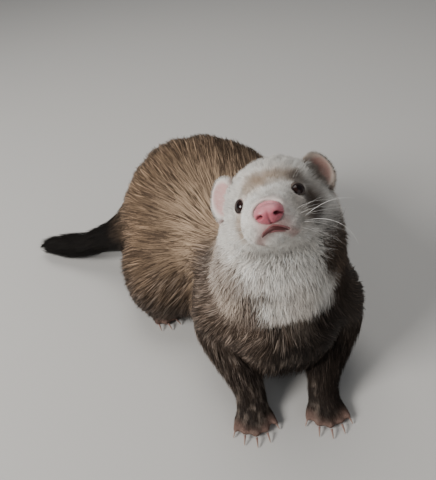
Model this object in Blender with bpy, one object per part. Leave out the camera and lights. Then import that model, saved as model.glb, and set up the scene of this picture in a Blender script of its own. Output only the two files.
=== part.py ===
"""Still, life-size model of a domestic ferret in sable coat, standing with its back arched and its face raised.

Units are metres and +Z is up. The animal faces -Y, its hindquarters swing to -X, and all four feet stand on z = 0.
The shapes are first drawn about the point on the floor midway between the forepaws, and the whole model is then
moved so that the origin is at the middle of the bottom of its bounding box.
"""

import math
import random

import bmesh
import bpy
import numpy as np
from mathutils import Matrix, Vector
from mathutils.bvhtree import BVHTree

MM = 0.001
UP = Vector((0, 0, 1))

# Colour in linear light and roughness of each surface
FINISHES = {
    "cream_fur": (0.42, 0.37, 0.31, 0.9),
    "tan_fur": (0.25, 0.17, 0.10, 0.9),
    "sable_fur": (0.045, 0.028, 0.018, 0.9),
    "black_fur": (0.012, 0.008, 0.006, 0.9),
    "pink_skin": (0.50, 0.22, 0.23, 0.45),
    "dark_eye": (0.012, 0.006, 0.005, 0.08),
    "horn": (0.42, 0.34, 0.27, 0.4),
}

# Clearance left between two pieces that meet
GAP = 0.3 * MM
# How far a surface is swollen to cut a neighbour clear of it, a little more because the facets cut corners
CLEARANCE = 0.36 * MM

# Frame of the head: middle of the skull, the way the nose points, and the way to the ferret's left
HEAD_CENTRE = Vector((-4.3, 31.8, 153.4)) * MM
HEAD_FORWARD = Vector((-0.265, -0.671, 0.693)).normalized()
HEAD_LEFT = Vector((0.954, -0.080, 0.288)).normalized()

# Stations of the head: distance forward of its centre, half width, top, bottom and the height where it is widest
HEAD_STATIONS = np.array([
    (-36, 20, 15, -19, -2),
    (-30, 25.5, 20, -23, -4),
    (-22, 28.5, 25, -25, -5.5),
    (-12, 29.4, 27.2, -25, -7),
    (-3, 27.6, 26, -24, -7.5),
    (6, 23.0, 21.8, -22.5, -7.5),
    (13, 18.2, 16.2, -20.8, -7.5),
    (20, 15.2, 9.6, -19.4, -8.5),
    (26, 13.6, 4.8, -18.0, -9),
    (31, 11.0, 2.2, -15, -7.5),
    (35, 6.5, 0.3, -10.5, -5),
]) * MM

# How much squarer than an oval the head is in section, where 2 is an oval
HEAD_SQUARENESS = 2.15

# Eyes, ears and nose, placed forward, left and up of the middle of the skull
EYE_PLACE = Vector((14.2, 12.4, 2.8)) * MM
EYE_AIM = Vector((0.62, 0.72, 0.30)).normalized()
EYEBALL_RADIUS = 4.1 * MM
ORBIT_RADIUS, ORBIT_FORWARD = 6.0 * MM, 7.5 * MM
LID_RADIUS, LID_THICKNESS, LID_FORWARD = 3.5 * MM, 0.95 * MM, 2.5 * MM
EAR_PLACE = Vector((-6.5, 26.5, 13.5)) * MM
EAR_AIM = Vector((0.80, 0.50, 0.20)).normalized()
EAR_HALF_HEIGHT, EAR_HALF_WIDTH, EAR_DEPTH, EAR_WALL = 12.5 * MM, 9.5 * MM, 4.0 * MM, 2.0 * MM
NOSE_PLACE = Vector((34.2, 0, -4.6)) * MM
NOSE_HALF_SIZES = Vector((5.2, 6.3, 4.9)) * MM
NOSTRIL_PLACE = Vector((38.6, 3.6, -5.2)) * MM
NOSTRIL_RADIUS, NOSTRIL_DEPTH = 1.25 * MM, 3.5 * MM
MOUTH_FRONT = Vector((33.5, 0, -11.6)) * MM
MOUTH_CORNER = Vector((22.0, 11.0, -16.8)) * MM
LIP_RADIUS, MOUTH_LINE_RADIUS = 1.6 * MM, 0.75 * MM

# Stations of the trunk, chest to tail root: centre x y z, half width, rise to the back, drop to the belly
TRUNK_STATIONS = np.array([
    (1, 15, 67, 31, 25, 26),
    (0, 25, 69, 43, 35, 35),
    (-1, 42, 74, 47, 38, 42),
    (-5, 66, 78, 48, 41, 52),
    (-14, 94, 84, 48, 44, 62),
    (-29, 119, 90, 47, 48, 70),
    (-48, 138, 86, 47, 49, 68),
    (-66, 148, 71, 46.5, 45, 56),
    (-85, 152, 56, 39, 36, 42),
    (-104, 154, 45, 25, 24, 27),
    (-120, 156, 41, 15, 15, 15),
]) * MM

# Stations of the hanging belly between the legs: centre x y z, half width, half height
BELLY_STATIONS = np.array([
    (-3, 48, 46, 40, 22),
    (-8, 66, 40, 48, 27),
    (-20, 92, 42, 50, 31),
    (-42, 116, 46, 46, 34),
]) * MM

# Stations of the neck, from inside the chest to inside the head: centre x y z, half width, half depth
NECK_STATIONS = np.array([
    (0, 42, 76, 45, 36),
    (0, 42, 98, 41, 34),
    (1, 43, 116, 37, 32),
    (1, 44, 132, 33, 29),
    (0, 43, 146, 28, 25),
]) * MM

# Stations of the tail, root to tip: centre x y z, half width, half height
TAIL_STATIONS = np.array([
    (-100, 153, 46, 20, 20),
    (-118, 157, 40, 15.5, 15.5),
    (-140, 164, 29, 13.5, 13.5),
    (-163, 173, 20, 13, 13),
    (-186, 182, 14.5, 12, 12),
    (-203, 189, 12, 8.5, 8.5),
]) * MM

# Stations of a left foreleg, shoulder to wrist: centre x y z, half width, half depth
FORELEG_STATIONS = np.array([
    (30, 46, 74, 22, 30),
    (36, 46, 57, 22, 26),
    (34, 38, 42, 19, 21),
    (29.5, 25, 28, 15.5, 16),
    (26.5, 14, 20, 12.8, 12.5),
]) * MM

# Stations of a hind leg in the frame of its foot, hip to ankle: outwards, forwards, up, half width, half depth
HINDLEG_STATIONS = np.array([
    (-16, 14, 62, 22, 34),
    (-5, 14, 44, 24, 35),
    (-1, 12, 29, 21, 29),
    (0, 0, 17, 14, 18),
]) * MM

# Feet on the floor: where the middle of each stands and the way its toes point
FORE_HEADING = Vector((0, -1, 0))
HIND_HEADING = Vector((0.67, -0.742, 0)).normalized()
FORE_FEET = {"left": Vector((25, 4, 0)) * MM, "right": Vector((-24, 4, 0)) * MM}
HIND_FEET = {"left": Vector((-33, 159, 0)) * MM, "right": Vector((-97, 108, 0)) * MM}

# Stations of a foot, wrist or heel to knuckles: forwards, up, half width, half height
FORE_FOOT = np.array([
    (-9, 17, 9.5, 10),
    (-3, 11, 11, 9.5),
    (3, 7, 11, 7),
    (8, 5.2, 10, 5.2),
]) * MM
HIND_FOOT = np.array([
    (-19, 7.5, 8.5, 7.5),
    (-10, 9, 10, 9),
    (2, 7.5, 11, 7.5),
    (14, 5.5, 11, 5.5),
    (20, 4.8, 10, 4.8),
]) * MM

# Toes of a foot, inner to outer: across and forwards of the foot's middle, length, turn in degrees
FORE_TOES = [(-8, 3, 7.5, -30), (-4.8, 7, 9.5, -12), (0, 8, 10.5, 0), (4.8, 7, 9.5, 12), (8, 4, 8, 26)]
HIND_TOES = [(-8, 12, 8, -24), (-4.8, 15.5, 10.5, -10), (0, 17, 11.5, 0), (4.8, 16, 11, 10), (8, 13, 9, 22)]
TOE_ROOT_RADIUS, TOE_TIP_RADIUS = 3.8 * MM, 3.1 * MM
CLAW_LENGTH, CLAW_RADIUS, CLAW_RISE = 7.2 * MM, 1.2 * MM, 1.5 * MM

BODY_VOXEL, COAT_VOXEL, BODY_TRIANGLES = 2.6 * MM, 1.4 * MM, 7700
HEAD_VOXEL, HEAD_TRIANGLES = 1.3 * MM, 2300

# Long coat of the back, flanks and tail: depth of the core under the tips, and the fade of that depth at its edges
CORE_DEPTH, TAIL_CORE_DEPTH, CORE_FADE = 4.5 * MM, 4.5 * MM, 12 * MM
# Length and width of a lock, and the spacing of roots along and across the lie
BODY_LOCK, BODY_LOCK_SPACING = (40 * MM, 19 * MM), (18 * MM, 14 * MM)
TAIL_LOCK, TAIL_LOCK_SPACING = (32 * MM, 14 * MM), (14 * MM, 10 * MM)
# How deep the edges of a lock are set into the core
LOCK_SINK = 1.5 * MM
# Along a lock: share of its length, share of the rise from core to tips, share of its width
LOCK_PROFILE = [(0.0, -0.2, 0.6), (0.35, 0.65, 1.0), (0.72, 1.0, 0.7), (1.0, 1.0, 0.08)]
LOCK_SEED = 7

# Cuts across the animal where one named part ends: a point and the way towards the end that is parted off
HEAD_CUT_FORWARD = -21 * MM
NECK_CUT = (Vector((0, 80, 128)) * MM, Vector((0, -0.46, 0.888)).normalized())
TAIL_CUT = (Vector((-117, 156.5, 40)) * MM, Vector((-0.88, 0.28, -0.38)).normalized())
COAT_FRONT_CUT = (Vector((0, 72, 110)) * MM, Vector((0, 0.85, -0.5)).normalized())
COAT_LOW_EDGE = 34 * MM
FORELEG_CUT = (Vector((15, 24, 28)) * MM, Vector((0.9, 0, -0.43)).normalized())
HINDLEG_CUT = (Vector((-13, 0, 44)) * MM, Vector((0.955, 0, -0.297)).normalized())
FORELEG_CUT_REACH, HINDLEG_CUT_REACH, LEG_CUT_DEPTH = (40 * MM, 45 * MM), (46 * MM, 42 * MM), 80 * MM
TAIL_CUT_REACH, TAIL_CUT_DEPTH = (40 * MM, 40 * MM), 150 * MM
FAR = 400 * MM


def catmull_rom(rows, steps):
    """Rows of any width, joined by a smooth curve through every row."""
    ends = np.vstack([2 * rows[0] - rows[1], rows, 2 * rows[-1] - rows[-2]])
    out = []
    for i in range(len(rows) - 1):
        a, b, c, d = ends[i:i + 4]
        for k in range(steps):
            t = k / steps
            linear = (c - a) * t
            square = (2 * a - 5 * b + 4 * c - d) * t**2
            cube = (3 * b - a - 3 * c + d) * t**3
            out.append(0.5 * (2 * b + linear + square + cube))
    out.append(rows[-1])
    return np.array(out)


def new_object(name, bm):
    """An object holding this bmesh, with its faces turned outwards."""
    bm.normal_update()
    bmesh.ops.recalc_face_normals(bm, faces=bm.faces)
    mesh = bpy.data.meshes.new(name)
    bm.to_mesh(mesh)
    bm.free()
    obj = bpy.data.objects.new(name, mesh)
    bpy.context.scene.collection.objects.link(obj)
    return obj


def copied(obj, name):
    """A second object with its own mesh."""
    made = bpy.data.objects.new(name, obj.data.copy())
    bpy.context.scene.collection.objects.link(made)
    return made


def loft(name, rings):
    """A closed body through rings of points, each end closed by a fan."""
    bm = bmesh.new()
    loops = [[bm.verts.new(p) for p in ring] for ring in rings]
    count = len(loops[0])
    for near, far in zip(loops, loops[1:]):
        for k in range(count):
            bm.faces.new((near[k], near[(k + 1) % count], far[(k + 1) % count], far[k]))
    for loop in (loops[0], loops[-1]):
        middle = bm.verts.new(sum((v.co for v in loop), Vector()) / count)
        for k in range(count):
            bm.faces.new((loop[k], loop[(k + 1) % count], middle))
    return new_object(name, bm)


def oval(centre, side, up, half_width, top, bottom, count, power=2.0):
    """Points of an oval that may reach further up than down. A power over 2 squares it."""
    points = []
    for k in range(count):
        a = 2 * math.pi * (k + 0.5) / count
        c, s = math.cos(a), math.sin(a)
        across = math.copysign(abs(c) ** (2 / power), c) * half_width
        height = math.copysign(abs(s) ** (2 / power), s) * (top if s > 0 else bottom)
        points.append(centre + side * across + up * height)
    return points


def domed(rows, roundness=1.0):
    """Extra rows beyond both ends, so that a limb closes in a dome. Columns past the third are radii."""
    out = list(rows)
    for tip, inner, at_start in ((rows[0], rows[1], True), (rows[-1], rows[-2], False)):
        way = tip[:3] - inner[:3]
        way = way / np.linalg.norm(way)
        reach = min(tip[3:]) * roundness
        for share in (0.35, 0.72):
            row = tip * math.sqrt(1 - share**2)
            row[:3] = tip[:3] + way * reach * share
            out.insert(0 if at_start else len(out), row)
    return np.array(out)


def limb(name, stations, steps, count, side_hint=None, roundness=1.0):
    """A loft along a path, its rings square to it. Radii are the half width, the rise and, if given, the drop."""
    rows = domed(catmull_rom(stations, steps), roundness)
    rings = []
    for i, row in enumerate(rows):
        ahead = Vector(rows[min(i + 1, len(rows) - 1)][:3] - rows[max(i - 1, 0)][:3]).normalized()
        side = side_hint or ahead.cross(UP).normalized()
        up = side.cross(ahead).normalized()
        side = ahead.cross(up).normalized()
        rings.append(oval(Vector(row[:3]), side, up, row[3], row[4], row[-1], count))
    return loft(name, rings)


def ellipsoid(name, centre, axes, half_sizes, segments=16):
    """An ellipsoid on three axes of its own."""
    bm = bmesh.new()
    bmesh.ops.create_uvsphere(bm, u_segments=segments, v_segments=segments * 2 // 3, radius=1)
    for v in bm.verts:
        v.co = centre + sum((axes[k] * (v.co[k] * half_sizes[k]) for k in range(3)), Vector())
    return new_object(name, bm)


def tube(name, points, radii, count, tip_shares=()):
    """A closed round tube through these points. Tip shares say how far out each extra ring of a domed tip stands."""
    rows = [(*p, r, r) for p, r in zip(points, radii)]
    way = (points[-1] - points[-2]).normalized()
    for share in tip_shares:
        radius = radii[-1] * math.sqrt(1 - share**2)
        rows.append((*(points[-1] + way * radii[-1] * share), radius, radius))
    rows = np.array(rows)
    rings = []
    side = None
    for i, row in enumerate(rows):
        ahead = Vector(rows[min(i + 1, len(rows) - 1)][:3] - rows[max(i - 1, 0)][:3]).normalized()
        if side is None:
            side = ahead.orthogonal().normalized()
        up = side.cross(ahead).normalized()
        side = ahead.cross(up).normalized()
        rings.append(oval(Vector(row[:3]), side, up, row[3], row[3], row[3], count))
    return loft(name, rings)


def baked(obj):
    """The same object with the mesh that its modifiers give."""
    graph = bpy.context.evaluated_depsgraph_get()
    mesh = bpy.data.meshes.new_from_object(obj.evaluated_get(graph))
    obj.modifiers.clear()
    obj.data = mesh
    return obj


def modified(obj, kind, **settings):
    """Adds one modifier and applies it."""
    modifier = obj.modifiers.new(kind, kind)
    for key, value in settings.items():
        setattr(modifier, key, value)
    return baked(obj)


def boolean(obj, operation, others, solver="EXACT"):
    """Joins, cuts or crosses an object with others, which are then removed."""
    tools = bpy.data.collections.new("tools")
    for other in others:
        tools.objects.link(other)
    settings = {"operation": operation, "operand_type": "COLLECTION", "collection": tools, "solver": solver}
    if operation == "INTERSECT":
        settings = {"operation": operation, "object": others[0], "solver": solver}
    modified(obj, "BOOLEAN", **settings)
    for other in others:
        bpy.data.objects.remove(other)
    bpy.data.collections.remove(tools)
    return largest_body(obj)


def largest_body(obj):
    """Drops all but the largest closed surface."""
    bm = bmesh.new()
    bm.from_mesh(obj.data)
    bmesh.ops.remove_doubles(bm, verts=bm.verts, dist=0.002 * MM)
    unseen = set(bm.faces)
    groups = []
    while unseen:
        group, front = set(), [unseen.pop()]
        while front:
            face = front.pop()
            group.add(face)
            for edge in face.edges:
                for other in edge.link_faces:
                    if other in unseen:
                        unseen.remove(other)
                        front.append(other)
        groups.append(group)
    groups.sort(key=len, reverse=True)
    bmesh.ops.delete(bm, geom=[f for group in groups[1:] for f in group], context="FACES")
    # A corner that only two edges meet in would give both faces beside it the same sliver
    bmesh.ops.dissolve_verts(bm, verts=[v for v in bm.verts if len(v.link_edges) == 2])
    bm.to_mesh(obj.data)
    bm.free()
    return obj


def joined(name, objects):
    """All these meshes in one object, not yet fused."""
    bm = bmesh.new()
    for obj in objects:
        bm.from_mesh(obj.data)
        bpy.data.objects.remove(obj)
    return new_object(name, bm)


def swollen(obj, name, by):
    """A copy whose surface is moved outwards along its normals."""
    made = copied(obj, name)
    bm = bmesh.new()
    bm.from_mesh(made.data)
    bm.normal_update()
    shift = {v: v.normal * by for v in bm.verts}
    for v, move in shift.items():
        v.co += move
    bm.to_mesh(made.data)
    bm.free()
    return made


def block(name, cut, reach, depth, gap=0.0):
    """A block whose near face lies on a cut's plane. Reach is how far it spreads level and steeply across it."""
    point, normal = cut
    level = UP.cross(normal).normalized() if abs(normal.z) < 0.999 else Vector((1, 0, 0))
    steep = normal.cross(level)
    bm = bmesh.new()
    bmesh.ops.create_cube(bm, size=2)
    for v in bm.verts:
        along = -gap if v.co.z < 0 else depth
        v.co = point + level * (v.co.x * reach[0]) + steep * (v.co.y * reach[1]) + normal * along
    return new_object(name, bm)


def cleared(cut, reach, depth, gap=GAP):
    """The block of a cut, larger by a gap, which clears one piece of the piece beyond the cut."""
    return block("drop", cut, (reach[0] + gap, reach[1] + gap), depth, gap)


def parted(obj, name, cut, reach=(FAR, FAR), depth=FAR):
    """Parts off what lies beyond a cut as a new object, and leaves a clear gap between the two."""
    beyond = copied(obj, name)
    boolean(beyond, "INTERSECT", [block("keep", cut, reach, depth)])
    boolean(obj, "DIFFERENCE", [cleared(cut, reach, depth)])
    return beyond


def head_axes():
    """The head's own axes: forward, left and up."""
    left = (HEAD_LEFT - HEAD_FORWARD * HEAD_LEFT.dot(HEAD_FORWARD)).normalized()
    return HEAD_FORWARD, left, left.cross(-HEAD_FORWARD).normalized()


def head_way(way, sign=1):
    """A direction given forward, left and up in the head. A sign of -1 gives its twin on the right."""
    forward, left, up = head_axes()
    return forward * way.x + left * way.y * sign + up * way.z


def head_point(place, sign=1):
    """A point given forward, left and up of the middle of the skull."""
    return HEAD_CENTRE + head_way(place, sign)


def head_loft(name, steps, count, last=None):
    """Skull and muzzle as one loft along the head's axis."""
    forward, left, up = head_axes()
    rows = catmull_rom(HEAD_STATIONS[:last], steps)
    rings = []
    for along, width, top, bottom, level in rows:
        centre = HEAD_CENTRE + forward * along + up * level
        rings.append(oval(centre, left, up, width, top - level, level - bottom, count, HEAD_SQUARENESS))
    return loft(name, rings)


def foot_point(foot, heading, outwards, across, along, height):
    """A point given in the frame of a foot."""
    return foot + outwards * across + heading * along + UP * height


def outwards_of(heading, side):
    """The level way from the body outwards over a foot."""
    left = UP.cross(heading)
    return left if side == "left" else -left


def foot_cut(cut, foot, heading, outwards):
    """A cut given in the frame of a foot, in the model's frame."""
    point, normal = cut
    return (foot + outwards * point.x + heading * point.y + UP * point.z,
            outwards * normal.x + heading * normal.y + UP * normal.z)


def fused(obj, voxel, smoothing, triangles=None):
    """Meshes that overlap made one smooth surface, of about this many triangles if a number is given."""
    modified(obj, "REMESH", mode="VOXEL", voxel_size=voxel)
    modified(obj, "SMOOTH", factor=0.5, iterations=smoothing)
    if triangles:
        before = sum(len(p.vertices) - 2 for p in obj.data.polygons)
        modified(obj, "DECIMATE", ratio=triangles / before)
    return obj


def body_mesh():
    """Trunk, neck, legs and tail fused into one smooth skin."""
    parts = [
        limb("trunk", TRUNK_STATIONS, 4, 32, roundness=0.8),
        limb("belly", BELLY_STATIONS, 3, 28),
        limb("neck", NECK_STATIONS, 4, 28, Vector((1, 0, 0))),
        limb("tail", TAIL_STATIONS, 4, 20),
        head_loft("head_stub", 3, 32, 6),
    ]
    for sign in (-1, 1):
        parts.append(limb("foreleg", FORELEG_STATIONS * np.array([sign, 1, 1, 1, 1]), 4, 20, Vector((1, 0, 0))))
    for side, foot in HIND_FEET.items():
        outwards = outwards_of(HIND_HEADING, side)
        rows = [(*foot_point(foot, HIND_HEADING, outwards, *row[:3]), *row[3:]) for row in HINDLEG_STATIONS]
        parts.append(limb("hindleg", np.array(rows), 4, 20, outwards_of(HIND_HEADING, "left")))
    return fused(joined("body", parts), BODY_VOXEL, 10)


def signed_distance(point, cut, reach):
    """How far a point is outside a cut's block, and below zero how deep inside."""
    origin, normal = cut
    level = UP.cross(normal).normalized()
    steep = normal.cross(level)
    offset = point - origin
    return max(-offset.dot(normal), abs(offset.dot(level)) - reach[0], abs(offset.dot(steep)) - reach[1])


def leg_cuts():
    """Cut and reach of the block that parts off each leg, by the leg's name."""
    cuts = {}
    for side, sign in (("left", 1), ("right", -1)):
        mirror = Vector((sign, 1, 1))
        cuts[f"foreleg_{side}"] = (FORELEG_CUT[0] * mirror, FORELEG_CUT[1] * mirror), FORELEG_CUT_REACH
        outwards = outwards_of(HIND_HEADING, side)
        cuts[f"hindleg_{side}"] = foot_cut(HINDLEG_CUT, HIND_FEET[side], HIND_HEADING, outwards), HINDLEG_CUT_REACH
    return cuts


def before_tail(point):
    """How far a point is ahead of the cut at the tail's root, and below zero how far behind it."""
    return signed_distance(point, TAIL_CUT, (FAR, FAR))


def coat_share(point, sides):
    """How much long coat grows here: 1 on back, flanks and tail, fading to 0 where the short fur begins."""
    ahead_of_tail = before_tail(point)
    if ahead_of_tail < 0:
        return min(1, -ahead_of_tail / CORE_FADE)
    clear = min(signed_distance(point, cut, reach) for cut, reach in sides)
    behind_withers = COAT_FRONT_CUT[1].dot(point - COAT_FRONT_CUT[0])
    inside = min(clear, ahead_of_tail, behind_withers, point.z - COAT_LOW_EDGE)
    return min(1, max(0, inside / CORE_FADE))


def thinned(obj, sides):
    """Sinks the surface under the long coat to the core that the locks grow from."""
    bm = bmesh.new()
    bm.from_mesh(obj.data)
    bm.normal_update()
    moves = {v: v.normal * -core_depth(v.co, sides) for v in bm.verts}
    for v, move in moves.items():
        v.co += move
    bm.to_mesh(obj.data)
    bm.free()
    return obj


def core_depth(point, sides):
    """How deep the core lies under the tips of the coat at a point of the outline."""
    return (TAIL_CORE_DEPTH if before_tail(point) < 0 else CORE_DEPTH) * coat_share(point, sides)


def roots(outline, stations, spacing, angles, keep):
    """Evenly spread places on the outline round a path, each with the way the hair lies there."""
    generator = random.Random(LOCK_SEED)
    rows = catmull_rom(stations, 6)
    found = []
    for i in range(1, len(rows) - 1):
        centre = Vector(rows[i][:3])
        ahead = Vector(rows[i + 1][:3] - rows[i - 1][:3]).normalized()
        side = ahead.cross(UP).normalized()
        rise = side.cross(ahead).normalized()
        for degrees in angles:
            angle = math.radians(degrees + generator.uniform(-3, 3))
            out = side * math.sin(angle) + rise * math.cos(angle)
            place, normal, _, _ = outline.ray_cast(centre + out * 90 * MM, -out)
            if place is None or not keep(place):
                continue
            way = ahead - UP * 0.35 * abs(math.sin(angle))
            way = (way - normal * way.dot(normal)).normalized()
            across = normal.cross(way)
            offsets = [place - other for other, _ in found]
            if all((offset.dot(way) / spacing[0])**2 + (offset.dot(across) / spacing[1])**2 >= 1
                   for offset in offsets):
                found.append((place, way))
    return found


def lock(outline, root, way, size, sides, generator):
    """A flat, tapering lock with a low ridge, which rises out of the core and bends along the outline."""
    length, width = (value * generator.uniform(0.88, 1.12) for value in size)
    turn = generator.uniform(-0.16, 0.16)
    rings = []
    for along, rise, share in LOCK_PROFILE:
        place, normal, _, _ = outline.find_nearest(root + way * length * along)
        across = normal.cross(way).normalized()
        place = place + across * length * turn * along**2
        depth = core_depth(place, sides)
        ridge = place - normal * depth * (1 - rise)
        edge = place - normal * (depth + LOCK_SINK)
        reach = across * width * share / 2
        rings.append([edge + reach, ridge, edge - reach])
    return loft("lock", rings)


def coat(body, sides):
    """Thins the outline to the core of the long coat, and grows the locks of back, flanks and tail on it."""
    outline = BVHTree.FromObject(body, bpy.context.evaluated_depsgraph_get())
    generator = random.Random(LOCK_SEED)
    made = []
    for stations, angles, size, spacing, keep in (
            (TRUNK_STATIONS, range(-112, 113, 7), BODY_LOCK, BODY_LOCK_SPACING, lambda p: before_tail(p) > 0),
            (TAIL_STATIONS, range(-180, 180, 15), TAIL_LOCK, TAIL_LOCK_SPACING, lambda p: before_tail(p) < 0)):
        places = roots(outline, stations, spacing, angles, lambda p: keep(p) and coat_share(p, sides) > 0.4)
        made += [lock(outline, place, way, size, sides, generator) for place, way in places]
    thinned(body, sides)
    boolean(body, "UNION", made, "MANIFOLD")
    return fused(body, COAT_VOXEL, 1, BODY_TRIANGLES)


def eye(side, sign, head):
    """An eyeball in its socket, with a raised rim of lid round it."""
    centre = head_point(EYE_PLACE, sign)
    aim = head_way(EYE_AIM, sign)
    across = aim.cross(head_axes()[2]).normalized()
    rise = across.cross(aim)
    ring = []
    for k in range(14):
        a = 2 * math.pi * k / 14
        round_the_eye = across * (math.cos(a) * LID_RADIUS * 1.1) + rise * (math.sin(a) * LID_RADIUS)
        ring.append(centre + aim * LID_FORWARD + round_the_eye)
    rings = []
    for k, point in enumerate(ring):
        out = (point - centre - aim * LID_FORWARD).normalized()
        rings.append([point + out * math.cos(b) * LID_THICKNESS + aim * math.sin(b) * LID_THICKNESS
                      for b in (2 * math.pi * j / 6 for j in range(6))])
    bm = bmesh.new()
    loops = [[bm.verts.new(p) for p in r] for r in rings]
    for near, far in zip(loops, loops[1:] + loops[:1]):
        for j in range(6):
            bm.faces.new((near[j], near[(j + 1) % 6], far[(j + 1) % 6], far[j]))
    lids = new_object("lids", bm)
    boolean(head, "UNION", [lids])
    axes = (across, rise, aim)
    radius = EYEBALL_RADIUS + GAP
    boolean(head, "DIFFERENCE", [ellipsoid("socket", centre, axes, (radius,) * 3, 12)])
    return ellipsoid(f"eye_{side}", centre, axes, (EYEBALL_RADIUS,) * 3, 12)


def ear(side, sign, head):
    """A rounded ear: a cupped shell whose root is cut to the side of the head."""
    centre = head_point(EAR_PLACE, sign)
    aim = head_way(EAR_AIM, sign)
    tall = (head_axes()[2] - aim * head_axes()[2].dot(aim)).normalized()
    wide = aim.cross(tall) * -sign
    count = 20
    rings = []
    for share, lift in ((1, 0), (0.92, 0.5), (0.66, 0.5), (0.25, 0.5)):
        for face in (1, -1):
            sunk = EAR_DEPTH * (1 - share**2)
            ring = []
            for k in range(count):
                a = 2 * math.pi * k / count
                point = tall * (math.cos(a) * EAR_HALF_HEIGHT * share) + wide * (math.sin(a) * EAR_HALF_WIDTH * share)
                ring.append(centre + point + aim * (lift * face * EAR_WALL - sunk))
            rings.append((face, share, ring))
    front = [r for f, s, r in rings if f == 1]
    back = [r for f, s, r in rings if f == -1 and s < 1]
    shell = loft(f"ear_{side}", back[::-1] + front)
    return boolean(shell, "DIFFERENCE", [swollen(head, "clearance", CLEARANCE)])


def mouth_line():
    """Points of the mouth on the head, from the right corner under the nose to the left corner."""
    points = []
    for k in range(-6, 7):
        t = k / 6
        spread = math.sin(abs(t) * math.pi / 2)
        place = Vector((
            MOUTH_FRONT.x + (MOUTH_CORNER.x - MOUTH_FRONT.x) * (1 - math.cos(t * math.pi / 2)),
            math.copysign(MOUTH_CORNER.y * spread, t),
            MOUTH_FRONT.z + (MOUTH_CORNER.z - MOUTH_FRONT.z) * abs(t) ** 1.3,
        ))
        points.append(head_point(place))
    return points


def on_surface(obj, points, lift=0.0):
    """The same points moved onto the nearest place of a surface, and lifted off it."""
    tree = BVHTree.FromObject(obj, bpy.context.evaluated_depsgraph_get())
    out = []
    for point in points:
        place, normal, _, _ = tree.find_nearest(point)
        out.append(place + normal * lift)
    return out


def head_mesh(throat):
    """Skull, whisker pads, chin and throat in one skin, with a hollow for each eye."""
    axes = head_axes()
    pieces = [head_loft("skull", 3, 36), throat]
    pieces.append(ellipsoid("chin", head_point(Vector((24, 0, -15.8)) * MM), axes, Vector((7, 7, 4.5)) * MM))
    orbits = []
    for sign in (1, -1):
        pad = head_point(Vector((24.5, 7.6, -9.8)) * MM, sign)
        pieces.append(ellipsoid("pad", pad, axes, Vector((8.5, 7.2, 6.8)) * MM))
        middle = head_point(EYE_PLACE, sign) + head_way(EYE_AIM, sign) * ORBIT_FORWARD
        orbits.append(ellipsoid("orbit", middle, axes, (ORBIT_RADIUS,) * 3))
    head = modified(joined("head", pieces), "REMESH", mode="VOXEL", voxel_size=HEAD_VOXEL)
    boolean(head, "DIFFERENCE", orbits)
    return fused(head, HEAD_VOXEL, 6, HEAD_TRIANGLES)


def mouth_and_nose(head):
    """Cuts the mouth line between raised lips, and sets the bare pad of the nose, with its nostrils, in the head."""
    path = on_surface(head, mouth_line(), -0.5 * MM)
    ends = [0.5 + 0.5 * math.sin(math.pi * (k + 0.5) / len(path)) for k in range(len(path))]
    boolean(head, "UNION", [tube("lips", path, [LIP_RADIUS * e for e in ends], 8)])
    groove = [point + HEAD_FORWARD * LIP_RADIUS for point in path]
    boolean(head, "DIFFERENCE", [tube("mouth_line", groove, [MOUTH_LINE_RADIUS * e for e in ends], 6)])
    nose = ellipsoid("nose", head_point(NOSE_PLACE), head_axes(), NOSE_HALF_SIZES, 14)
    boolean(head, "DIFFERENCE", [swollen(nose, "clearance", CLEARANCE)])
    pits = []
    for sign in (1, -1):
        mouth = head_point(NOSTRIL_PLACE, sign)
        inwards = head_way(Vector((-0.86, -0.42, 0.05)), sign).normalized()
        pits.append(tube("nostril", [mouth - inwards * 2 * MM, mouth + inwards * NOSTRIL_DEPTH],
                         [NOSTRIL_RADIUS * 1.25, NOSTRIL_RADIUS * 0.7], 10))
    boolean(nose, "DIFFERENCE", pits)


def foot(name, foot_place, heading, side, stations, toes, leg):
    """A foot with its toes and flat soles, its claws as pieces of their own, and the pocket in the leg that it fills."""
    outwards = outwards_of(heading, side)
    rows = [(*foot_point(foot_place, heading, outwards, 0, along, height), half_width, half_height)
            for along, height, half_width, half_height in stations]
    made = limb(name, np.array(rows), 1, 11, outwards_of(heading, "left"))
    digits, claws = [], []
    for number, (across, along, length, turn) in enumerate(toes, 1):
        angle = math.radians(turn)
        way = outwards * math.sin(angle) + heading * math.cos(angle)
        root = foot_point(foot_place, heading, outwards, across * MM, along * MM, TOE_ROOT_RADIUS * 1.15)
        knuckle = root + way * length * MM * 0.45 + UP * 0.8 * MM
        tip = root + way * length * MM - UP * (TOE_ROOT_RADIUS * 1.15 - TOE_TIP_RADIUS)
        digits.append(tube("toe", [root - way * 4 * MM, knuckle, tip],
                           [TOE_ROOT_RADIUS, TOE_ROOT_RADIUS, TOE_TIP_RADIUS], 7, (0.7,)))
        claws.append(claw(f"claw_{name}_{number}", tip + UP * 0.4 * MM, way))
    boolean(leg, "DIFFERENCE", [swollen(piece, "clearance", CLEARANCE) for piece in (made, *digits)])
    boolean(made, "UNION", digits)
    boolean(made, "DIFFERENCE", [block("floor", (Vector((0, 0, 0)), -UP), (FAR, FAR), FAR)])
    for piece in claws:
        boolean(piece, "DIFFERENCE", [swollen(made, "clearance", CLEARANCE)])


def claw(name, toe_tip, way):
    """A curved, tapering claw whose root faces the end of its toe."""
    points, radii = [], []
    root = toe_tip + way * TOE_TIP_RADIUS * 0.4
    for k in range(4):
        t = k / 3
        drop = (toe_tip.z - 0.9 * MM) * t**1.8 - CLAW_RISE * math.sin(math.pi * t) * 0.5
        points.append(root + way * CLAW_LENGTH * t - UP * drop)
        radii.append(CLAW_RADIUS * (1 - 0.72 * t))
    return tube(name, points, radii, 5)


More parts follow.
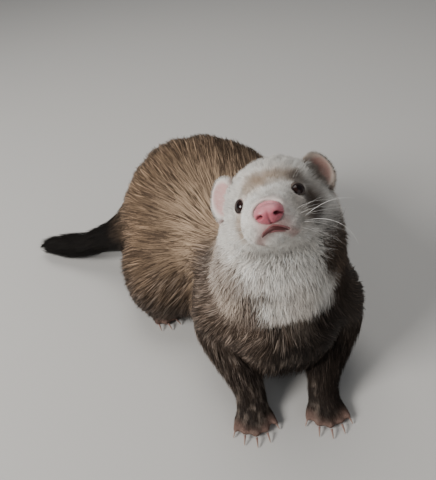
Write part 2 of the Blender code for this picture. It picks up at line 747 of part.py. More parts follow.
def coated(obj, finish):
    """Gives an object a material of its own and smooth shading that stops at its cut edges."""
    red, green, blue, roughness = FINISHES[finish]
    material = bpy.data.materials.new(f"{obj.name}_{finish}")
    material.use_nodes = True
    shader = material.node_tree.nodes["Principled BSDF"]
    shader.inputs["Base Color"].default_value = (red, green, blue, 1)
    shader.inputs["Roughness"].default_value = roughness
    obj.data.materials.clear()
    obj.data.materials.append(material)
    obj.data.shade_smooth()
    obj.data.set_sharp_from_angle(angle=math.radians(40))
    return obj


def finish_of(name):
    """Which finish a node has, from its name."""
    for part, finish in (("eye", "dark_eye"), ("claw", "horn"), ("nose", "pink_skin"), ("ear", "pink_skin"),
                         ("tail", "black_fur"), ("leg", "sable_fur"), ("paw", "sable_fur"), ("head", "cream_fur"),
                         ("neck", "cream_fur")):
        if part in name:
            return finish
    return "tan_fur"


def stood_at_origin(objects):
    """Moves the whole model so that the middle of the bottom of its bounding box is at the origin."""
    corners = np.array([v.co for obj in objects for v in obj.data.vertices])
    low, high = corners.min(axis=0), corners.max(axis=0)
    shift = Matrix.Translation((-(low[0] + high[0]) / 2, -(low[1] + high[1]) / 2, -low[2]))
    for obj in objects:
        obj.data.transform(shift)


def build():
    for stale in list(bpy.data.objects):
        bpy.data.objects.remove(stale)
    body = body_mesh()
    coat(body, list(leg_cuts().values()))
    head_cut = (HEAD_CENTRE + HEAD_FORWARD * HEAD_CUT_FORWARD, HEAD_FORWARD)
    head = head_mesh(parted(body, "throat", head_cut))
    mouth_and_nose(head)
    for side, sign in (("left", 1), ("right", -1)):
        eye(side, sign, head)
    for side, sign in (("left", 1), ("right", -1)):
        ear(side, sign, head)
    boolean(head, "INTERSECT", [block("keep", head_cut, (FAR, FAR), FAR)])
    for name, (cut, reach) in leg_cuts().items():
        leg = parted(body, name, cut, reach, LEG_CUT_DEPTH)
        side = name.split("_")[1]
        if name.startswith("fore"):
            foot(f"forepaw_{side}", FORE_FEET[side], FORE_HEADING, side, FORE_FOOT, FORE_TOES, leg)
        else:
            foot(f"hindpaw_{side}", HIND_FEET[side], HIND_HEADING, side, HIND_FOOT, HIND_TOES, leg)
    parted(body, "neck", NECK_CUT)
    parted(body, "tail", TAIL_CUT, TAIL_CUT_REACH, TAIL_CUT_DEPTH)
    body.name = "torso"
    nodes = list(bpy.context.scene.objects)
    for node in nodes:
        coated(node, finish_of(node.name))
    stood_at_origin(nodes)


build()
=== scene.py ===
"""A still, life-size model of a domestic ferret in light sable coat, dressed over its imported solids.

Lengths are in metres, except in the model's own frame, which is in millimetres from the point on the floor
midway between the forepaws. The animal faces -Y, and its hindquarters swing to -X.
"""

import math

import bmesh
import bpy
import numpy as np
from mathutils import Matrix, Vector
from mathutils.bvhtree import BVHTree
from mathutils.kdtree import KDTree


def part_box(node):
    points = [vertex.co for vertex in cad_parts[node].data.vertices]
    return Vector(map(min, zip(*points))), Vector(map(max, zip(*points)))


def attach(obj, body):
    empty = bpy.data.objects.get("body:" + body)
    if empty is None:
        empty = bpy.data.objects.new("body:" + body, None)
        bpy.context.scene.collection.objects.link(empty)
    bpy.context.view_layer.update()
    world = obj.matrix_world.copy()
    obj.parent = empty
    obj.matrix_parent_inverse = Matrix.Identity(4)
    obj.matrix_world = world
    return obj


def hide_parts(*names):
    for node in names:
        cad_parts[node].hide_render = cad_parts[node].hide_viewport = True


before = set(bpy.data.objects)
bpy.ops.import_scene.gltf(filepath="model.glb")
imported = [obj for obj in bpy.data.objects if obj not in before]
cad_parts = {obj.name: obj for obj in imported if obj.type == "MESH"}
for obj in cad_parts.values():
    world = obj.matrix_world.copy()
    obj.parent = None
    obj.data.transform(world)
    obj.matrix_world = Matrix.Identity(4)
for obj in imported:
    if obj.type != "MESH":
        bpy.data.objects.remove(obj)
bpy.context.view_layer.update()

# SKIN
# One skin covers the whole animal. It follows the flesh of the solids with no seam between the parts, and
# lies inside them by the depth of the coat. It carries the markings of the coat that grows on it.
MM = 0.001
SIDES = {"left": 1, "right": -1}
SKIN_VOXEL = 1.36 * MM
SKIN_GROWTH = 0.22 * MM

HEAD_CENTRE = Vector((-4.3, 31.8, 153.4))
HEAD_FORWARD = Vector((-0.265, -0.671, 0.693)).normalized()
HEAD_LEFT = Vector((0.954, -0.080, 0.288))
HEAD_LEFT = (HEAD_LEFT - HEAD_FORWARD * HEAD_LEFT.dot(HEAD_FORWARD)).normalized()
HEAD_UP = HEAD_LEFT.cross(-HEAD_FORWARD).normalized()


def head_way(forward, left, up):
    """A direction in the model's frame, given forward, left and up in the head."""
    return HEAD_FORWARD * forward + HEAD_LEFT * left + HEAD_UP * up


def head_point(forward, left, up):
    """A place in the model's frame, given forward, left and up of the middle of the skull."""
    return HEAD_CENTRE + head_way(forward, left, up)


def on_side(place, sign):
    """The left one, for 1, or the right one, for -1, of a pair of places or ways in the head."""
    return place[0], place[1] * sign, place[2]


def middle(node):
    low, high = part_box(node)
    return (low + high) / 2


EYE_PLACE, EYE_RADIUS = (14.2, 12.4, 2.8), 4.1
NOSE_PLACE, NOSE_HALF_SIZES = (34.2, 0.8, -5.3), (5.2, 6.3, 4.9)
ORIGIN = middle("eye_left") / MM - head_point(*EYE_PLACE)


def to_world(points):
    """Places in the model's frame as an array in metres."""
    return (np.asarray(points, float).reshape(-1, 3) + np.array(ORIGIN)) * MM


def to_model(points):
    """Places in metres as an array in the model's frame."""
    return np.asarray(points, float).reshape(-1, 3) / MM - np.array(ORIGIN)


def in_head(points):
    """Places in the model's frame, given forward, left and up of the middle of the skull."""
    axes = np.array([HEAD_FORWARD, HEAD_LEFT, HEAD_UP])
    return (points - np.array(HEAD_CENTRE)) @ axes.T


def ramp(low, high, values):
    """0 below low, 1 above high, and smooth between."""
    share = np.clip((values - low) / (high - low), 0, 1)
    return share * share * (3 - 2 * share)


def mixed(first, second, share):
    """The first of two tones, places or ways where the share is 0, the second where it is 1."""
    share = np.asarray(share)[..., None]
    return np.asarray(first) * (1 - share) + np.asarray(second) * share


def noise(points, size, seed=0):
    """Smooth noise from -1 to 1 whose lumps are about this many millimetres across."""
    scaled = points / size + 500 + seed * 17.3
    cell = np.floor(scaled).astype(np.int64)
    inside = scaled - cell
    inside = inside * inside * (3 - 2 * inside)
    total = np.zeros(len(points))
    for corner in range(8):
        step = np.array([corner & 1, corner >> 1 & 1, corner >> 2 & 1])
        at = cell + step
        drawn = at[:, 0] * 73856093 ^ at[:, 1] * 19349663 ^ at[:, 2] * 83492791
        drawn = (drawn ^ drawn >> 13) * 1274126177 & 0xFFFFFF
        total += (drawn / 0x7FFFFF - 1) * np.prod(np.where(step, inside, 1 - inside), axis=1)
    return total


# Line down the middle of each part, in the direction in which its hair lies
HIND_HEADING = Vector((0.67, -0.742, 0)).normalized()
TRUNK_LINE = [(1, 5, 67), (0, 42, 74), (-5, 66, 78), (-14, 94, 84), (-29, 119, 90), (-48, 138, 86),
              (-66, 148, 71), (-85, 152, 56), (-120, 156, 41)]
TAIL_LINE = [(-100, 153, 46), (-118, 157, 40), (-140, 164, 29), (-163, 173, 20), (-186, 182, 14.5),
             (-208, 190, 12)]
NECK_LINE = [(1, 44, 140), (0, 40, 100), (0, 34, 60)]
FORELEG_LINE = [(30, 46, 74), (36, 46, 57), (34, 38, 42), (29.5, 25, 28), (26, 12, 16)]
FOREPAW_LINE = [(25, 14, 20), (25, 2, 9), (25, -14, 3)]
HINDLEG_LINE = [(-16, 14, 66), (-5, 14, 44), (-1, 12, 29), (0, -2, 12)]
HINDPAW_LINE = [(0, -20, 12), (0, 2, 8), (0, 28, 3)]
HIND_FEET = {"left": Vector((-33, 159, 0)), "right": Vector((-97, 108, 0))}

LINES = {"torso": TRUNK_LINE, "tail": TAIL_LINE, "neck": NECK_LINE,
         "head": [tuple(head_point(f, 0, u)) for f, u in ((36, -6), (20, -3), (0, 2), (-34, -4))]}
for side, sign in SIDES.items():
    LINES[f"foreleg_{side}"] = [(x * sign, y, z) for x, y, z in FORELEG_LINE]
    LINES[f"forepaw_{side}"] = [(x * sign, y, z) for x, y, z in FOREPAW_LINE]
    outwards = Vector((0, 0, 1)).cross(HIND_HEADING) * sign
    for part, line in (("hindleg", HINDLEG_LINE), ("hindpaw", HINDPAW_LINE)):
        placed = [HIND_FEET[side] + outwards * x + HIND_HEADING * y + Vector((0, 0, z)) for x, y, z in line]
        LINES[f"{part}_{side}"] = [tuple(place) for place in placed]

# Coat of each part, in millimetres: depth of the skin under the solids, length and width of a tuft, square
# millimetres a tuft, and how high the tips of the hair stand over the skin. The fields of the coat hold the
# lie of the hair for each point of the skin, and then these five
COAT = {"head": (1.9, 6, 0.4, 0.2, 2.5), "neck": (3.0, 13, 0.38, 0.33, 4.6),
        "torso": (2.2, 23, 0.50, 0.58, 6.6), "tail": (2.2, 20, 0.6, 0.6, 7.0),
        "foreleg": (1.9, 13, 0.42, 0.40, 5.6), "hindleg": (2.4, 13, 0.5, 0.55, 4.8),
        "forepaw": (0.8, 3.4, 0.3, 0.22, 1.1), "hindpaw": (0.8, 3.4, 0.3, 0.22, 1.1)}
DEPTH, LENGTH, WIDTH, AREA, LOFT = range(3, 8)
FLESH = sorted(LINES)


def linked(name, data):
    """A new object of the scene, from a mesh, a light or a camera."""
    made = bpy.data.objects.new(name, data)
    bpy.context.scene.collection.objects.link(made)
    return made


def plain_object(name, bm):
    mesh = bpy.data.meshes.new(name)
    bm.to_mesh(mesh)
    bm.free()
    return linked(name, mesh)


def modified(obj, kind, **settings):
    """Adds a modifier, and turns what it gives into the object's plain mesh."""
    modifier = obj.modifiers.new(kind, kind)
    for key, value in settings.items():
        setattr(modifier, key, value)
    graph = bpy.context.evaluated_depsgraph_get()
    mesh = bpy.data.meshes.new_from_object(obj.evaluated_get(graph))
    obj.modifiers.clear()
    obj.data = mesh


def moved(obj, places):
    """Puts the points of an object's mesh at these places."""
    obj.data.vertices.foreach_set("co", places.ravel())
    obj.data.update()


def dressed(obj, finish, slot, *replaced):
    """Gives a piece its one material, and hangs it on the body in the place of some of the solids."""
    obj.data.materials.clear()
    obj.data.materials.append(finish)
    obj.data.shade_smooth()
    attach(obj, "root")
    if replaced:
        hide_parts(*replaced)


def merged_copy(bm, name, growth=0.0):
    """Adds a node's mesh, merged and grown a little, and returns the merged points."""
    one = bmesh.new()
    one.from_mesh(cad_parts[name].data)
    bmesh.ops.remove_doubles(one, verts=one.verts, dist=1e-6)
    one.normal_update()
    for vert in one.verts:
        vert.co += vert.normal * growth
    points = [vert.co.copy() for vert in one.verts]
    carrier = bpy.data.meshes.new(name)
    one.to_mesh(carrier)
    one.free()
    bm.from_mesh(carrier)
    bpy.data.meshes.remove(carrier)
    return points


flesh = bmesh.new()
labelled = []
for part in FLESH:
    labelled += [(point, FLESH.index(part)) for point in merged_copy(flesh, part, SKIN_GROWTH)]
# Each toe runs on over the root of its claw
TOE_RADIUS, TOE_BALLS, TOE_STEP, TOE_OVERHANG = 2.6 * MM, 4, 1.9 * MM, 0.9 * MM
CLAW_REACH = 24 * MM
claw_nodes = sorted(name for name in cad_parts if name.startswith("claw"))
for paw in [name for name in FLESH if "paw" in name]:
    ankle = middle(paw)
    for name in claw_nodes:
        if (middle(name) - ankle).length > CLAW_REACH:
            continue
        claw = bmesh.new()
        points = merged_copy(claw, name)
        claw.free()
        by_reach = sorted(points, key=lambda point: (point - ankle).length)
        claw_root = sum(by_reach[:len(points) // 3], Vector()) / (len(points) // 3)
        backwards = (ankle - claw_root) * Vector((1, 1, 0.3))
        for k in range(TOE_BALLS):
            place = claw_root + backwards.normalized() * (TOE_STEP * k - TOE_OVERHANG)
            radius = TOE_RADIUS * (0.9 + 0.06 * k)
            added = bmesh.ops.create_icosphere(flesh, subdivisions=2, radius=radius)
            bmesh.ops.translate(flesh, verts=added["verts"], vec=place)
            labelled += [(vert.co.copy(), FLESH.index(paw)) for vert in added["verts"]]
skin = plain_object("skin", flesh)
modified(skin, "REMESH", mode="VOXEL", voxel_size=SKIN_VOXEL)
modified(skin, "SMOOTH", factor=0.5, iterations=4)


def rows(items, name, width, kind=float):
    """What each item of a mesh holds under a name, as the rows of an array."""
    found = np.empty(len(items) * width, kind)
    items.foreach_get(name, found)
    return found.reshape(-1, width)


def coordinates(mesh):
    return rows(mesh.vertices, "co", 3)


def vertex_normals(mesh):
    return rows(mesh.vertex_normals, "vector", 3, np.float32).astype(float)


def nearest_of(places, among):
    """For each place, the number of the nearest one among some others."""
    tree = KDTree(len(among))
    for number, other in enumerate(among):
        tree.insert(other, number)
    tree.balance()
    return np.array([tree.find(place)[1] for place in places])


def spread(values, pairs, rounds):
    """Averages values over the neighbours in a mesh, so that they change smoothly from part to part."""
    ends = np.concatenate([pairs, pairs[:, ::-1]])
    count = np.bincount(ends[:, 0], minlength=len(values))[:, None] + 1
    for _ in range(rounds):
        total = values.copy()
        for column in range(values.shape[1]):
            neighbours = values[ends[:, 1], column]
            total[:, column] += np.bincount(ends[:, 0], weights=neighbours, minlength=len(values))
        values = total / count
    return values


def nearest_stretch(line, points, beyond=0.0):
    """Direction of a line where it passes each point nearest, the way off it, and the run up to there."""
    line = np.array(line, float)
    steps = np.diff(line, axis=0)
    sizes = np.linalg.norm(steps, axis=1)
    travelled = np.concatenate([[0], np.cumsum(sizes)])
    best, run = np.full(len(points), np.inf), np.zeros(len(points))
    direction, off = np.zeros((2, len(points), 3))
    for k, step in enumerate(steps):
        share = np.clip((points - line[k]) @ step / (step @ step), -beyond, 1 + beyond)
        away = points - line[k] - share[:, None] * step
        reach = np.linalg.norm(away, axis=1)
        nearer = reach < best
        best[nearer], off[nearer] = reach[nearer], away[nearer]
        direction[nearer] = step / sizes[k]
        run[nearer] = (travelled[k] + share * sizes[k])[nearer]
    return direction, off, run


skin_points = coordinates(skin.data)
nearest_label = nearest_of(skin_points, [point for point, _ in labelled])
part_of = np.array([number for _, number in labelled])[nearest_label]
edges = rows(skin.data.edges, "vertices", 2, np.int64)

# Lips: the mouth runs from corner to corner under the nose
MOUTH_FRONT, MOUTH_CORNER = Vector((33.5, 0, -11.6)), Vector((26.0, 7.8, -16.6))
MOUTH_STEPS = 24
mouth_path = []
for k in range(-MOUTH_STEPS, MOUTH_STEPS + 1):
    share = k / MOUTH_STEPS
    round_front = share * math.pi / 2
    mouth_path.append(head_point(
        MOUTH_FRONT.x + (MOUTH_CORNER.x - MOUTH_FRONT.x) * (1 - math.cos(round_front)),
        MOUTH_CORNER.y * math.sin(round_front) + NOSE_PLACE[1],
        MOUTH_FRONT.z + (MOUTH_CORNER.z - MOUTH_FRONT.z) * abs(share) ** 1.2))


def nearest(points, places):
    """Distance from each point to the nearest of a few places."""
    return np.min([np.linalg.norm(points - np.array(place), axis=1) for place in places], axis=0)


EYES = [head_point(*on_side(EYE_PLACE, sign)) for sign in SIDES.values()]
# Opening of the lids: an almond that looks outwards and ahead, drawn out to the inner corner
LIDS_AIM, LIDS_ACROSS, LIDS_UP = (0.76, 0.60, 0.25), {1: 0.78, -1: 0.80}, {1: 0.72, -1: 0.84}
CORNER_TURN, CORNER_LENGTH = -2.2, 0.20


def lid_axes(sign):
    """Ahead, away from the nose and up at the opening of one eye."""
    aim = head_way(*on_side(LIDS_AIM, sign)).normalized()
    outer = (HEAD_LEFT * sign - aim * aim.dot(HEAD_LEFT * sign)).normalized()
    rise = aim.cross(outer).normalized()
    return aim, outer, rise if rise.dot(HEAD_UP) > 0 else -rise


def lid_edge(turn):
    """How far the opening reaches at this turn round it, drawn out at the inner corner."""
    return 1 + CORNER_LENGTH * np.maximum(np.cos(turn - CORNER_TURN), 0) ** 6


def from_eye(away, sign):
    """0 where an eye looks and 1 at the edge of its lids, for places given from its middle."""
    aim, outer, rise = (np.array(axis) for axis in lid_axes(sign))
    way = away / np.linalg.norm(away, axis=1, keepdims=True)
    off = np.arccos(np.clip(way @ aim, -1, 1))
    turn = np.arctan2(way @ rise, way @ outer)
    reach = 1 / np.sqrt((np.cos(turn) / LIDS_ACROSS[sign]) ** 2 + (np.sin(turn) / LIDS_UP[sign]) ** 2)
    return off / (reach * lid_edge(turn))


BARE_EYE, BARE_NOSE, BARE_MOUTH, BARE_EDGE = 4.9, 6.4, 0.6, 6


def bare_share(points):
    """1 at the lids, the nose and the lips, where the hair is shortest, and 0 away from them."""
    room = np.min([nearest(points, EYES) - BARE_EYE, nearest(points, [head_point(*NOSE_PLACE)]) - BARE_NOSE,
                   nearest(points, mouth_path) - BARE_MOUTH], axis=0)
    return 1 - ramp(0, BARE_EDGE, room)


def face_coat(points):
    """Coat of the head: fine and short on the muzzle, deeper on the crown, a loose ruff on the cheeks."""
    forward, left, up = in_head(points).T
    open_fur = 1 - bare_share(points)
    back = ramp(22, -6, forward)
    ruff = ramp(-8, -22, up) * ramp(18, 4, forward)
    by_ear = np.exp(-((forward + 1) / 7) ** 2 - ((np.abs(left) - 19.5) / 4) ** 2 - ((up - 12) / 8) ** 2)
    depth = 0.25 + open_fur * (0.65 + 0.9 * back + 0.9 * ruff)
    length = 1.4 + open_fur * (1.5 + 6.6 * back + 6.5 * ruff + 3.0 * by_ear)
    width = 0.21 + open_fur * (0.08 + 0.10 * back + 0.06 * ruff)
    area = 0.065 + open_fur * (0.022 + 0.034 * back + 0.05 * ruff)
    loft = 0.4 + open_fur * (0.8 + 4.2 * back + 3.6 * ruff + 1.6 * by_ear)
    return np.column_stack([depth, length, width, area, loft])


TOES = [to_model(middle(name))[0] for name in claw_nodes]

# Behind the shoulders the hair fans out from the nape, over the back and down the flanks
NAPE = ((-28, 20), 48, 116)


def from_nape(points):
    """Away from the nearest place of the nape, and how far."""
    nape = np.column_stack([np.clip(points[:, 0], *NAPE[0]), np.full((len(points), 2), NAPE[1:], float)])
    away = points - nape
    reach = np.linalg.norm(away, axis=1)
    return away / np.maximum(reach, 1)[:, None], reach


def on_part(numbers, *words):
    """True where the number is that of a part whose name holds one of the words."""
    return np.isin(numbers, [k for k, part in enumerate(FLESH) if any(word in part for word in words)])


def lengthened(share, length, loft):
    """Adds to the length and the loft of the coat, by a share at each point of the skin."""
    fields[:, LENGTH] += share * length
    fields[:, LOFT] += share * loft


model_points = to_model(skin_points)
x, y, z = model_points.T
fields = np.zeros((len(model_points), 8))
for number, part in enumerate(FLESH):
    here = part_of == number
    fields[here, :3] = nearest_stretch(LINES[part], model_points[here])[0]
    fields[here, 3:] = COAT[part.split("_")[0]]
forward, left, up = in_head(model_points).T
in_skull, in_torso = on_part(part_of, "head"), on_part(part_of, "torso")
fields[in_skull, 3:] = face_coat(model_points[in_skull])
in_haunch = on_part(part_of, "hindleg") * ramp(10, 32, z)
fanned = in_torso * ramp(46, 62, y) * (1 - 0.8 * ramp(-88, -112, x)) + in_haunch * 0.85
fields[:, :3] = mixed(fields[:, :3], from_nape(model_points)[0], fanned)
# In front of the shoulders it hangs, and so it does on the throat. It is longest under the chest
front = in_torso * ramp(56, 40, y)
fields[:, 2] -= 1.5 * front + in_skull * (0.2 + 2.0 * ramp(-15, -30, up))
lengthened(front, -8.5, -1.6)
lengthened(in_torso * ramp(66, 52, z) * ramp(80, 60, y), 11, 3)
# The haunch wears the coat of the back, and the hair of the forelegs shortens down to the wrist
lengthened(in_haunch, 8, 1.6)
lengthened(on_part(part_of, "foreleg") * ramp(46, 20, z), -5.5, -2.6)
# Over the face it runs from the nose outwards and back
fan = np.where(in_skull, ramp(34, 12, forward), 0)[:, None]
fields[:, :3] += fan * (np.outer(left / 22, HEAD_LEFT) + np.outer((up + 5) / 30, HEAD_UP)) * 0.9
# The tail is a blunt brush, fullest towards its end
lengthened(on_part(part_of, "tail") * ramp(-120, -170, x), 0, 1.5)
fields = spread(fields, edges, 12)
fields[in_skull, 3:] = 0.4 * fields[in_skull, 3:] + 0.6 * face_coat(model_points[in_skull])
on_toes = 1 - ramp(4, 11, nearest(model_points, TOES))
fields[:, DEPTH] *= 1 - 0.8 * on_toes
fields[:, LENGTH] *= 1 - 0.5 * on_toes
fields[:, LOFT] *= 1 - 0.6 * on_toes
fields[:, 3:] = mixed(fields[:, 3:], face_coat(model_points), bare_share(model_points))

# The trunk, neck and tail are smooth under their coat, and the feet keep their toes
PLUMP = {"torso": 1.0, "tail": 0.8, "neck": 0.8}
plump = np.array([[PLUMP.get(part, 0.1)] for part in FLESH])[part_of]
plump = spread(plump, edges, 8)[:, 0]
skin_points = mixed(skin_points, spread(skin_points, edges, 12), plump)
moved(skin, skin_points)

SOCKET_GAP, SOCKET_ROOM = 0.2, 8
sunk = skin_points - vertex_normals(skin.data) * fields[:, DEPTH, None] * MM
for centre, sign in zip(EYES, SIDES.values()):
    place = to_world(centre)[0]
    away = sunk - place
    reach = np.linalg.norm(away, axis=1) / MM
    off_edge = from_eye(away, sign)
    socket = EYE_RADIUS + SOCKET_GAP
    socket += np.maximum(reach - EYE_RADIUS - SOCKET_GAP, 0) * ramp(1.0, 1.5, off_edge)
    wanted = np.where(off_edge < 1, EYE_RADIUS * 0.8, socket)
    near = reach < SOCKET_ROOM
    sunk[near] = (place + away / reach[:, None] * wanted[:, None])[near]
moved(skin, sunk)
modified(skin, "SMOOTH", factor=0.5, iterations=2)

# Markings. Colours are in linear light, and places in the model's frame or the head
CREAM, WARM_CREAM = (0.84, 0.80, 0.74), (0.60, 0.50, 0.41)
PALE_GOLD, DEEP_GOLD = (0.52, 0.375, 0.255), (0.225, 0.150, 0.094)
TAN, TAUPE, ASH = (0.38, 0.265, 0.18), (0.40, 0.32, 0.26), (0.165, 0.13, 0.11)
BROWN = (0.100, 0.069, 0.049)
SABLE, DARK_SABLE, BLACK = (0.062, 0.043, 0.032), (0.036, 0.025, 0.019), (0.014, 0.011, 0.009)


def blob(points, centre, radii, softness, wobble=0.0, seed=0):
    """1 inside an oval patch and 0 outside, with a soft and uneven edge."""
    away = np.linalg.norm((points - np.array(centre)) / np.array(radii), axis=1)
    away += noise(points, min(radii) * 0.7, seed) * wobble
    return 1 - ramp(1 - softness, 1 + softness, away)


MUZZLE_PINK, LIP_FUR_PINK, MOUTH_FUR_PINK = (0.66, 0.40, 0.37), (0.46, 0.24, 0.23), (0.34, 0.18, 0.165)
TOE_PINK = (0.27, 0.165, 0.13)
# Patches of the mask in the head: centre, radii, softness and unevenness of the edge, seed, strength, tone
# and share of dark hairs. A tan band crosses the bridge, and darker patches lie by the eyes
MASK = [((16.5, -5, 9.5), (7, 9.5, 5.5), 0.6, 0.45, 7, 0.7, TAN),
        ((14.5, 5, 12.5), (6.5, 10, 4.2), 0.6, 0.45, 27, 0.7, TAN),
        ((12, 13.5, 8.5), (5, 5, 4.5), 0.5, 0.2, 8, 0.8, BROWN),
        ((13.5, 17.6, -4.5), (7, 3.6, 8), 0.45, 0.2, 9, 0.9, SABLE),
        ((10, 20, 1), (6, 4.5, 8), 0.5, 0.2, 21, 0.6, BROWN),
        ((20, 16, -10), (6, 3, 3), 0.5, 0.2, 10, 0.5, BROWN),
        # Ash on the left cheek: partly its tint, partly painted shade on the side away from the light
        ((3, 22, -16), (11, 7, 9), 0.5, 0.25, 11, 0.4, ASH),
        ((17, -15.5, -6.5), (6, 4, 7), 0.6, 0.25, 12, 0.75, TAN),
        # Taupe on the left of the muzzle: partly its tint, partly painted shade on the side away from the
        # light
        ((23, 13, -7), (9, 7, 8), 0.6, 0.2, 24, 0.5, TAUPE),
        ((-0.5, 21.5, 11), (6, 4.2, 9), 0.4, 0.2, 13, 0.9, BROWN),
        ((-16, 25, 0), (10, 9, 14), 0.5, 0.25, 19, 0.6, TAN, 0.2)]


def markings(points, hair):
    """Colour of the coat at each place, shifted a little by hair, and the share of dark guard hairs."""
    x, y, z = points.T
    way, reach = from_nape(points)
    drawn_out = way * 90 + np.outer(reach, (0.09, 0.05, 0.07))
    streak = noise(drawn_out, 5.5, 16) * 0.55 + noise(drawn_out, 2.3, 17) * 0.6
    far = ramp(22, 88, reach)
    colour = mixed(PALE_GOLD, DEEP_GOLD, far)
    guard = 0.27 + 0.30 * far + 0.7 * streak

    def paint(mask, tone, share=None):
        colour[:] = mixed(colour, tone, mask)
        if share is not None:
            guard[:] = guard * (1 - mask) + share * mask

    def patch(places, centre, radii, softness, wobble, seed, strength, tone, share=None):
        paint(blob(places, centre, radii, softness, wobble, seed) * strength, tone, share)

    uneven = noise(points, 14, 1) * 5 + noise(points, 5, 2) * 2
    head = in_head(points)
    forward, left, up = head.T
    # Darker far side of the back, rump, haunches and belly: partly darker fur there, partly painted shade
    # on the far side and under the body
    far_side = np.maximum(ramp(98, 122, y + 0.35 * x + uneven), ramp(-88, -106, x + uneven * 0.6))
    paint(far_side * 0.8, BROWN, 0.85)
    paint(ramp(78, 42, z + uneven) * ramp(50, 70, y), SABLE, 0.8)
    # Shoulders, chest and legs, with a darker line where they meet the long coat of the back
    shoulder = ramp(60, 47, y + uneven * 0.7)
    paint(shoulder, ASH, 0.45)
    paint(np.exp(-((y + uneven * 0.5 - 53) / 4.5) ** 2) * ramp(-18, -28, x) * 0.6, BROWN, 0.6)
    paint(shoulder * ramp(106, 84, z + uneven), BROWN, 0.6)
    paint(shoulder * ramp(94, 70, z + uneven), SABLE, 0.55)
    # Low on the chest, between the forelegs and under the bib the coat is painted near black: partly the
    # dark fur of the legs and chest, partly painted shade under the body
    paint(ramp(60, 40, z + uneven) * ramp(72, 60, y), DARK_SABLE, 0.45)
    shaded_breast = ramp(-16, -6, x + uneven * 0.6) * ramp(104, 94, z + uneven * 0.4)
    paint(shoulder * shaded_breast, DARK_SABLE, 0.5)
    # Light patches on the point of the right shoulder
    patch(points, (-30, 21, 105), (12, 16, 13), 0.45, 0.3, 4, 0.7, TAUPE, 0.2)
    # Tail
    paint(ramp(-100, -116, x + uneven * 0.4), BLACK, 1.0)
    # Head and nape
    over_throat = ramp(-36, -24, up + uneven * 0.3)
    paint(ramp(-40, -24, forward + uneven * 0.5) * over_throat * 0.8, WARM_CREAM, 0.12)
    paint(ramp(-29, -16, forward + uneven * 0.35) * over_throat, CREAM, 0.0)
    # White bib from the chin to the chest, with a straight lower edge and a notch on the right
    right_edge = x - 15 - (134 - z) * 0.30 + uneven * 0.4
    bib = ramp(-3, 3, x + 12.5 + (z - 93) * 0.16 + uneven * 0.4) * ramp(3, -3, right_edge)
    bib *= ramp(97, 103, z + uneven * 0.3) * ramp(42, 30, y + uneven * 0.4) * ramp(160, 140, z)
    paint(bib, CREAM, 0.0)
    patch(points, (3, 8, 112), (10, 16, 17), 0.7, 0.3, 23, 0.4, WARM_CREAM)
    patch(points, (-27, 27, 141), (13, 18, 9), 0.4, 0.25, 5, 1.0, CREAM, 0.0)
    # Left of the bib the coat turns from the white ruff through taupe to the pale point of the shoulder
    patch(points, (-31, 24, 120), (11, 19, 8.5), 0.5, 0.35, 18, 0.85, TAUPE, 0.25)
    patch(points, (-30, 21, 107), (10, 15, 6), 0.5, 0.3, 4, 0.8, WARM_CREAM, 0.1)
    patch(points, (-13, 13, 119), (3.5, 8, 2.8), 0.6, 0.3, 6, 0.7, BROWN, 0.3)
    hanging = noise(points * (1, 1, 0.35), 2.2, 25)
    ruff = ramp(-2, -20, up) * ramp(14, 0, forward) * ramp(-8, -16, left)
    paint(ruff * ramp(0.05, 0.6, hanging) * 0.6, TAUPE)
    # Dark left side of the neck, and a darker place below the left cheek: partly darker fur, partly painted
    # shade between the head and the shoulder
    paint(ramp(-3, 3, right_edge) * ramp(152, 140, z + uneven * 0.4) * ramp(66, 50, y), SABLE, 0.5)
    patch(points, (25, 21, 124), (6, 9, 6), 0.6, 0.3, 26, 0.4, TAN)
    under_cheek = ramp(10, 17, x + uneven * 0.3) * ramp(121, 131, z + uneven * 0.4) * ramp(66, 50, y)
    paint(under_cheek * ramp(15, 9, forward) * ramp(-12.5, -17.5, up + uneven * 0.2) * 0.9, BROWN, 0.5)
    for settings in MASK:
        patch(head, *settings)
    # Pink shows through the thin hair at the lips, and through that of the toes
    paint(bare_share(points) ** 3 * 0.3 * ramp(16, 24, forward), MUZZLE_PINK)
    patch(head, (33, 2, -10.5), (4, 7, 2.6), 0.6, 0.1, 22, 0.6, LIP_FUR_PINK)
    paint((1 - ramp(0.6, 3.2, nearest(points, mouth_path))) * 0.6, MOUTH_FUR_PINK)
    paint((1 - ramp(4.0, 12.0, nearest(points, TOES))) * 0.85, TOE_PINK, 0.1)
    tint = 1 + 0.08 * noise(points, 7, 14)[:, None] + 0.05 * noise(points, 2.5, 15)[:, None]
    tint += 0.16 * (streak * ramp(50, 62, y))[:, None]
    return np.clip(colour * tint * (1 + hair), 0, 1), np.clip(guard, 0, 1)


def coloured(mesh, colours, name="coat"):
    """Stores one colour a vertex."""
    layer = mesh.attributes.new(name, "FLOAT_COLOR", "POINT")
    with_alpha = np.column_stack([colours, np.ones(len(colours))])
    layer.data.foreach_set("color", with_alpha.astype(np.float32).ravel())


